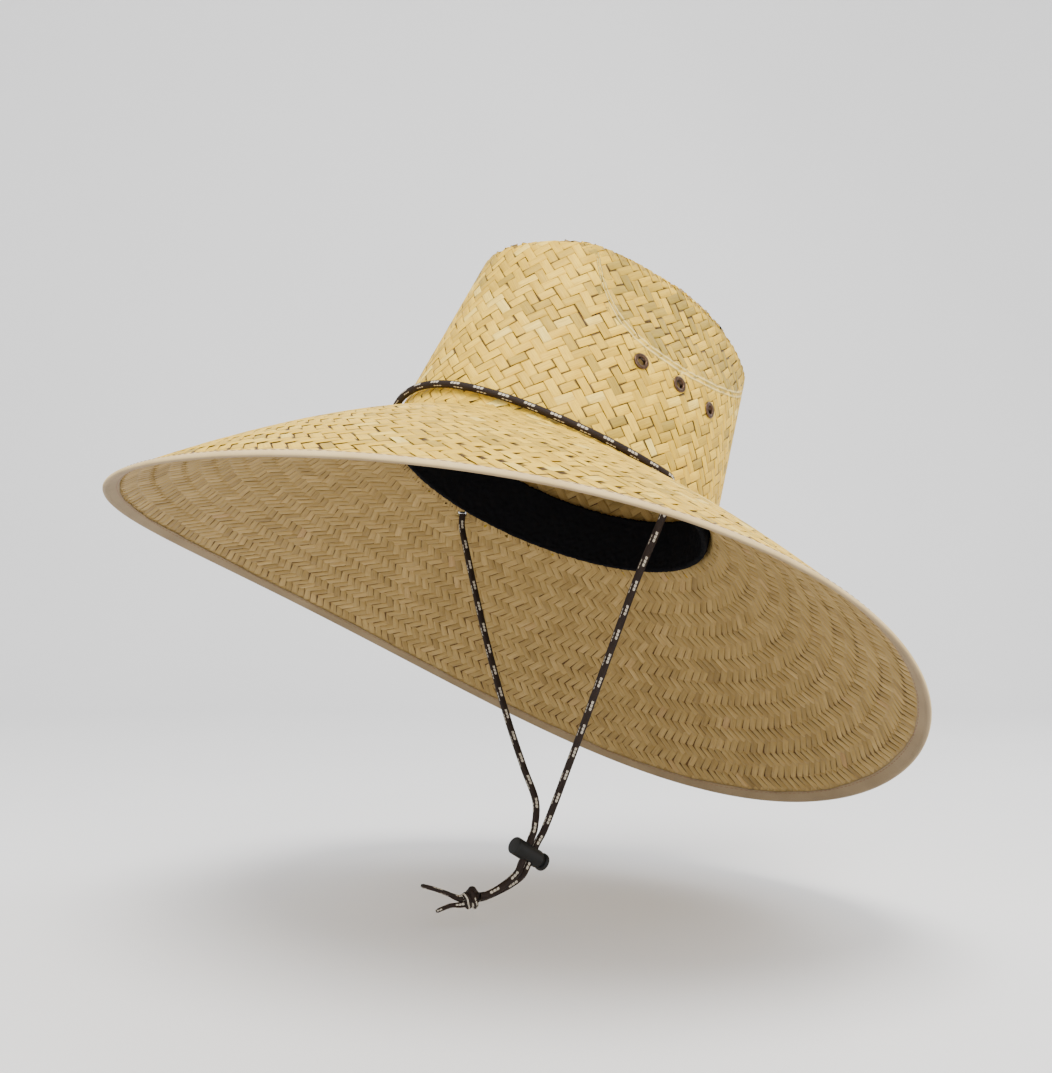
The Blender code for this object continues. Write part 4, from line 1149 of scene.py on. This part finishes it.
def smoothRoute(points, spacing):
    # Even steps along a Catmull-Rom curve through the route's points
    knots = np.array([tuple(point) for point in points])
    ends = np.vstack([2 * knots[0] - knots[1], knots, 2 * knots[-1] - knots[-2]])
    before, start, end, after = (part[:, None, :] for part in (ends[:-3], ends[1:-2], ends[2:-1], ends[3:]))
    t = np.linspace(0, 1, 40, endpoint=False)[None, :, None]
    bend = 2 * before - 5 * start + 4 * end - after
    twist = 3 * (start - end) + after - before
    fine = (start + 0.5 * ((end - before) * t + bend * t ** 2 + twist * t ** 3)).reshape(-1, 3)
    fine = np.vstack([fine, knots[-1:]])
    length = lengthsAlong(fine)
    even = np.linspace(0, length[-1], max(3, int(round(length[-1] / spacing)) + 1))
    return np.column_stack([np.interp(even, length, fine[:, axis]) for axis in range(3)])


def pathFrames(path):
    # Tangents, and sides carried along the path without twist, by projecting one start side
    tangent = np.gradient(path, axis=0)
    tangent /= np.linalg.norm(tangent, axis=1, keepdims=True)
    side = np.zeros_like(path)
    guess = np.cross(tangent[0], (0.3, 1.0, 0.2))
    side[0] = guess / np.linalg.norm(guess)
    for index in range(1, len(path)):
        carried = side[index - 1] - tangent[index] * (side[index - 1] @ tangent[index])
        side[index] = carried / np.linalg.norm(carried)
    return tangent, side, np.cross(tangent, side)


def braidRidge(distance, turn, plaits, pitch):
    # Two crossed spirals of ridges in a two-over, two-under braid, by the cell that a place is in
    first = turn * plaits / (2 * pi) + distance / pitch
    second = turn * plaits / (2 * pi) - distance / pitch
    over = np.floor(first) + np.floor(second)
    onTop = (over % 2) < 1
    ridge = np.where(onTop, np.abs(np.sin(pi * first)), np.abs(np.sin(pi * second)))
    body = np.where(onTop, np.abs(np.sin(pi * second)), np.abs(np.sin(pi * first)))
    return ridge ** 0.5 * (0.55 + 0.45 * body)


def braidedTube(name, path, radius, startPhase=0.0, flatten=None, tracers=()):
    # A circle carried along the path, its radius lifted by the braid's ridges
    c = cord
    _, side, third = pathFrames(path)
    distance = lengthsAlong(path)
    s, phi = distance[:, None] + startPhase, fullTurn(c["around"])[None, :]
    ridge = braidRidge(s, phi, c["plaits"], c["plaitPitch"])
    reach = radius - c["relief"] * (1 - ridge)
    if flatten is not None:
        reach = reach * flatten(distance, distance[-1])[:, None]
    way = side[:, None] * np.cos(phi)[..., None] + third[:, None] * np.sin(phi)[..., None]
    points = path[:, None] + way * reach[..., None]
    field = fleckField(s, phi)
    for bearing in tracers:
        away = ((phi + c["tracerTwist"] * s - bearing + pi) % (2 * pi) - pi) * radius
        field = np.maximum(field, np.exp(-(away / c["tracerWidth"]) ** 4))
    # How deep a place lies in a groove, for the painted shade there
    grooveShade = np.clip(1 - ridge * 1.25, 0.0, 1.0)
    count = len(path)
    points = np.concatenate([points.reshape(-1, 3), path[:1], path[-1:]])
    faces = gridFaces(count, c["around"], False, True)[:, ::-1]
    c0 = np.arange(c["around"])
    c1 = (c0 + 1) % c["around"]
    total = count * c["around"]
    startCap = np.stack([c0, c1, np.full(len(c0), total)], -1)
    endCap = np.stack([(count - 1) * c["around"] + c1, (count - 1) * c["around"] + c0,
                       np.full(len(c0), total + 1)], -1)
    strip = vectors(s, phi * radius, 0.0).reshape(-1, 3)
    strip = np.concatenate([strip, strip[:1], strip[-1:]])
    values = {"fleck": np.append(field.ravel(), [0.0, 0.0]), "grooveShade": np.append(grooveShade.ravel(), [0.5, 0.5]),
              "strip": strip}
    return newMesh(name, points, [faces, startCap[:, ::-1], endCap[:, ::-1]], cordBraid, values)


def fleckField(s, phi):
    # Over a half inside pale chevrons: groups of bars along a few lines that run down the cord
    f = fleck
    field = np.zeros(np.broadcast(s, phi).shape)
    for bearing, shift, arc in f["lines"]:
        away = ((phi - bearing + pi) % (2 * pi) - pi) * cord["diameter"] / 2
        along = (s - shift + f["slant"] * np.abs(away)) % f["pitch"]
        bar = np.floor(along / f["barPitch"])
        middle = (bar + 0.5) * f["barPitch"]
        inBar = np.exp(-((along - middle) / (0.5 * f["barLength"])) ** 8) * (bar < f["bars"])
        field = np.maximum(field, inBar * np.exp(-(away / arc) ** 6))
    return field


def bandCordPoints():
    c = cord
    standOff = c["diameter"] / 2 + c["gap"] + c["slack"]
    points = []
    for turn in range(-c["sideAngle"], c["sideAngle"] + 1, 10):
        angle = np.array(radians(turn))
        slide = min(1.0, max(0.0, (abs(turn) - c["slide"][0]) / (c["slide"][1] - c["slide"][0])))
        height = c["bandLow"] + c["bandRise"] * cos(angle) ** c["bandCurve"] - slide * c["slideDown"]
        away = standOff + slide * c["slideOut"]
        points.append(Vector(crownWall(angle, height) + planNormal(angle) * away))
    for sign in (-1, 1):
        spot = cordHoleSpots[sign]
        arch = spot - plumb * c["archRise"] * c["diameter"]
        arch.y -= c["archLead"] * c["diameter"]
        inside = spot + plumb * strawShape["wall"] / 2
        descent = [arch, spot - plumb * c["archDrop"] * c["diameter"], inside]
        points = points + descent if sign > 0 else descent[::-1] + points
    return [tilt @ point for point in points]


def strandPoints(sign, across):
    c = cord
    start = tilt @ (cordHoleSpots[sign] + plumb * (strawShape["wall"] / 2 + c["gap"]))
    points = [start, start + Vector((0, 0, -0.5 * c["diameter"]))]
    points += [Vector(spot) for spot in strandRoutes[sign]]
    for distance in lock["run"]:
        lean = sign * lock["spread"] * (min(0.0, distance) / lock["run"][0]) ** 2
        points.append(lock["centre"] + lockThrough * distance + lockAxis * across + Vector((lean, 0, 0)))
    tail = [lock["centre"], *(Vector(spot) for spot in tailRoute), knotCentre]
    for before, spot, ahead, twist in zip(tail, tail[1:], tail[2:], tailTwist):
        points.append(spot + pairSide(ahead - before, twist) * across * tailSpread)
    knotStart = knotCentre - knotAxis * (knot["halfLength"] + c["gap"])
    points.append(knotStart + pairSide(knotAxis, tailTwist[-1]) * across)
    return points


bandPath = smoothRoute(bandCordPoints(), cord["spacing"])
bandCord = braidedTube("bandCord", bandPath, cord["diameter"] / 2)
strands = {}
for label, sign in (("Left", 1), ("Right", -1)):
    path = smoothRoute(strandPoints(sign, sign * halfPair), cord["spacing"])
    strands[label] = (braidedTube("chinCord" + label, path, cord["diameter"] / 2,
                                  0.004 if sign > 0 else 0.009), path)


def taperedEnd(distance, whole):
    # A cut end is drawn thin out of the knot, and its heat-sealed tip is blunt
    share = distance / whole
    left = whole - distance
    return (1.0 - 0.34 * np.clip(share / 0.35, 0, 1) - 0.10 * share) * np.where(left < 0.0006, 0.75, 1.0)


cutEnds = {}
for (name, route), across in zip(cutEndRoutes.items(), (-halfPair, halfPair)):
    root = knotCentre + knotAxis * (knot["halfLength"] - 0.0020) + knotSide * across * 0.8
    clear = root + knotAxis * 0.0036
    path = smoothRoute([root, clear, *map(Vector, route)], cord["spacing"])
    cutEnds[name] = braidedTube(name, path, cord["diameter"] / 2, 0.006, taperedEnd)


def knotPlaced(spots):
    # From the knot's own frame, with its axis along Z, to the hat's
    matrix = np.array(knotAxis.to_track_quat("Z", "X").to_matrix())
    return np.asarray(spots) @ matrix.T + np.array(knotCentre)


def makeKnot():
    # The cord wound round the knot's core, wavering a little and drawn in at both ends
    k = knot
    turns = np.linspace(k["start"], k["start"] + 2 * pi * k["windings"], 240)
    share = np.linspace(0, 1, len(turns))
    rise = (share - 0.5) * (2 * k["halfLength"] - 0.7 * cord["diameter"])
    reach = k["reach"] + k["waver"] * np.sin(2.3 * turns) - k["drawnIn"] * np.abs(2 * share - 1) ** 6
    wrap = vectors(reach * np.cos(turns), reach * np.sin(turns), rise)
    return braidedTube("endKnot", knotPlaced(wrap), cord["diameter"] / 2 * k["wrapWidth"],
                       tracers=k["tracers"])


def makeKnotLoop():
    # An arch of cord from inside the knot, up out of its upper side and back in
    turn = np.linspace(0, pi, 60)
    upward = (Vector((0, 0, 1)) - knotAxis * knotAxis.z).normalized()
    half, low, rise = knot["loopHalf"], knot["loopLow"], knot["loopRise"]
    spots = [knotCentre - knotAxis * (half + half * cos(t)) + upward * (low + rise * sin(t)) for t in turn]
    return braidedTube("knotLoop", np.array([tuple(spot) for spot in spots]),
                       cord["diameter"] / 2 * knot["loopWidth"], 0.002)


endKnot = makeKnot()
knotLoop = makeKnotLoop()


def makeKnotCore():
    # Both strands straight through the knot, drawn together inside it
    core = []
    for across in (-1, 1):
        entry = pairSide(knotAxis, tailTwist[-1]) * halfPair * across
        ends = [knotCentre - knotAxis * (knot["halfLength"] + 0.0002) + entry,
                knotCentre - knotAxis * 0.002 + knotSide * 0.0014 * across,
                knotCentre + knotAxis * 0.002 + knotSide * 0.0014 * across,
                knotCentre + knotAxis * (knot["halfLength"] - 0.0015) + knotSide * 0.0016 * across]
        path = smoothRoute(ends, cord["spacing"])
        core.append(braidedTube("knotCore" + ("A" if across > 0 else "B"), path, cord["diameter"] / 2))
    return core


knotCores = makeKnotCore()
print("stage: cords and knot made")


# Cord lock: a barrel and its button, turned, then slotted for the two strands

slotHalfLength = halfPair + cord["diameter"] / 2 + lock["slotGap"]
slotHalfWidth = cord["diameter"] / 2 + lock["slotGap"]
plungerFoot = -slotHalfLength - lock["web"]
boreFloor = plungerFoot - lock["springRoom"]
boreRadius = lock["radius"] - lock["wall"]
barrelMouth = slotHalfLength + lock["travel"] + lock["slotGap"]
buttonFoot = barrelMouth + lock["travel"] + cord["gap"]
plungerRadius = boreRadius - lock["plungerGap"]
lockMatrix = Matrix.Translation(lock["centre"]) @ lockAxis.to_track_quat("Z", "Y").to_matrix().to_4x4()


def arcPoints(radius, height, rounding, start, end, steps=6):
    return [(radius + rounding * cos(t), height + rounding * sin(t))
            for t in np.linspace(radians(start), radians(end), steps)]


def latheSolid(name, outline, material, around=96):
    # An outline from the axis round to the axis again, turned into a closed solid with its poles welded
    shape = bmesh.new()
    turn = fullTurn(around)
    rings = []
    for radius, height in outline:
        if radius < 1e-7:
            rings.append([shape.verts.new((0, 0, height))])
        else:
            rings.append([shape.verts.new((radius * cos(t), radius * sin(t), height)) for t in turn])
    for lower, upper in zip(rings, rings[1:]):
        for index in range(around):
            following = (index + 1) % around
            a, b = lower[index % len(lower)], lower[following % len(lower)]
            c, d = upper[following % len(upper)], upper[index % len(upper)]
            corners = [a, b, c] if len(upper) == 1 else [a, c, d] if len(lower) == 1 else [a, b, c, d]
            shape.faces.new(corners)
    bmesh.ops.recalc_face_normals(shape, faces=shape.faces)
    return bmeshItem(name, shape, material)


def slotCutter(name, low, high):
    # A bar with rounded long edges, right through the lock from side to side
    shape = bmesh.new()
    for middle in (low + slotHalfWidth, high - slotHalfWidth):
        for side in (-2 * lock["radius"], 2 * lock["radius"]):
            for t in np.arange(32) * pi / 16:
                shape.verts.new((slotHalfWidth * cos(t), side, middle + slotHalfWidth * sin(t)))
    hull = bmesh.ops.convex_hull(shape, input=shape.verts)
    bmesh.ops.delete(shape, geom=hull["geom_interior"], context="VERTS")
    bmesh.ops.recalc_face_normals(shape, faces=shape.faces)
    return bmeshItem(name, shape)


r = lock["cornerShare"] * lock["radius"]
barrelOutline = [(0, boreFloor), (boreRadius, boreFloor), (boreRadius, barrelMouth)]
barrelOutline += arcPoints(lock["radius"] - r / 2, barrelMouth - r / 2, r / 2, 90, 0)
barrelOutline += [(lock["radius"], barrelMouth * 0.2), (lock["radius"], boreFloor * 0.5)]
barrelOutline += arcPoints(lock["radius"] - r, boreFloor - lock["floor"] + r, r, 0, -90)
barrelOutline += [(0, boreFloor - lock["floor"])]
lockBarrel = latheSolid("lockBarrel", barrelOutline, lockPlastic)
applyCut(lockBarrel, slotCutter("barrelSlot", -slotHalfLength, slotHalfLength))

buttonTop = buttonFoot + lock["buttonThickness"]
buttonOutline = [(0, buttonTop), (lock["buttonRadius"] - r - 0.0004, buttonTop)]
buttonOutline += arcPoints(lock["buttonRadius"] - r, buttonTop - r, r, 90, 0)
buttonOutline += arcPoints(lock["buttonRadius"] - r / 2, buttonFoot + r / 2, r / 2, 0, -90)
buttonOutline += [(plungerRadius, buttonFoot), (plungerRadius, plungerFoot), (0, plungerFoot)]
lockButton = latheSolid("lockButton", buttonOutline, lockPlastic)
applyCut(lockButton, slotCutter("buttonSlot", -slotHalfLength, slotHalfLength + lock["travel"]))
for item in (lockBarrel, lockButton):
    item.data.transform(lockMatrix)
    item.data.shade_smooth()
    sharpen(item, 42.0)
print("stage: cord lock made")


# What each piece rides on, and the solids that it stands for

for piece in (strawCrown, strawCrownBored, strawCrownInside, strawCrownInsideBored, strawTop,
              strawTopInside, strawBrimTop, strawBrimTopBored, strawBrimUnder, strawBrimUnderBored,
              strawUnderlay):
    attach(piece, "hat")
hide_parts("straw_crown")
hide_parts("straw_brim")
for piece in (edgeTape, stitchesTop, stitchesUnder):
    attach(piece, "hat")
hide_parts("edge_tape")
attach(terrySweatband, "hat")
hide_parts("sweatband")
for piece, node in eyelets:
    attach(piece, "hat")
    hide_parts(node)
for piece in (bandCord, endKnot, knotLoop, *knotCores, *cutEnds.values(), strands["Left"][0],
              strands["Right"][0]):
    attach(piece, "hat")
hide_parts("band_cord")
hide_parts("chin_cord_left")
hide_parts("chin_cord_right")
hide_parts("end_knot")
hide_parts("cut_end_long")
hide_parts("cut_end_short")
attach(lockBarrel, "hat")
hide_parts("lock_barrel")
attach(lockButton, "lock_button")
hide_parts("lock_button")


# Pale floor that sweeps up into a backdrop, and soft studio light

stage = {"floor": -0.238, "front": -3.0, "depth": 1.6, "width": 3.2, "sweep": 0.5, "height": 2.6,
         "away": radians(50.6)}


def makeBackdrop():
    # A flat floor, a quarter circle and a wall behind, as one profile carried sideways, square to the view
    s = stage
    turn = np.linspace(0, pi / 2, 24)
    back = s["depth"] + s["sweep"] * np.sin(turn)
    forward = np.concatenate([[s["front"]], back, [s["depth"] + s["sweep"]]])
    rise = np.concatenate([[0.0], s["sweep"] * (1 - np.cos(turn)), [s["height"]]])
    sideways = np.linspace(-s["width"], s["width"], 3)
    ahead = np.array([-sin(s["away"]), cos(s["away"])])
    across = np.array([cos(s["away"]), sin(s["away"])])
    x = forward[:, None] * ahead[0] + sideways[None, :] * across[0]
    y = forward[:, None] * ahead[1] + sideways[None, :] * across[1]
    points = vectors(x, y, rise[:, None] + s["floor"])
    material, tree, shader = newMaterial("paleBackdrop")
    place = addNode(tree, "ShaderNodeTexCoord").outputs["Object"]
    noise = noiseOf(tree, place, 2.2, 5.0)
    color = ramp(tree, noise, ((0.3, (0.90, 0.902, 0.906)), (0.7, (0.925, 0.927, 0.931))))
    tree.links.new(color, shader.inputs["Base Color"])
    shader.inputs["Roughness"].default_value = 0.9
    faces = gridFaces(len(forward), 3)[:, ::-1]
    return newMesh("paleBackdrop", points.reshape(-1, 3), [faces], material)


makeBackdrop()


light = {
    "aim": Vector((0.0, 0.0, -0.03)),
    # place, width across in metres, power in watts and colour
    "keySoftbox": ((0.65, -0.75, 1.8), 1.1, 50.0, (1.0, 0.97, 0.92)),
    "fillSoftbox": ((1.5, -0.6, 0.7), 1.4, 15.0, (1.0, 0.99, 0.97)),
    "backSoftbox": ((0.3, 1.4, 1.3), 1.2, 11.0, (1.0, 1.0, 1.0)),
    "world": {"Color": (0.84, 0.845, 0.86, 1.0), "Strength": 1.24},
}


def addSoftLight(name):
    place, size, power, color = light[name]
    data = bpy.data.lights.new(name, "AREA")
    data.shape, data.size, data.energy, data.color = "DISK", size, power, color
    item = placed(name, data)
    item.location = place
    item.rotation_euler = (light["aim"] - Vector(place)).to_track_quat("-Z", "Y").to_euler()


for name in ("keySoftbox", "fillSoftbox", "backSoftbox"):
    addSoftLight(name)
world = bpy.data.worlds.new("softWorld")
world.use_nodes = True
for name, value in light["world"].items():
    world.node_tree.nodes["Background"].inputs[name].default_value = value
bpy.context.scene.world = world
print("stage: stage and lights set")
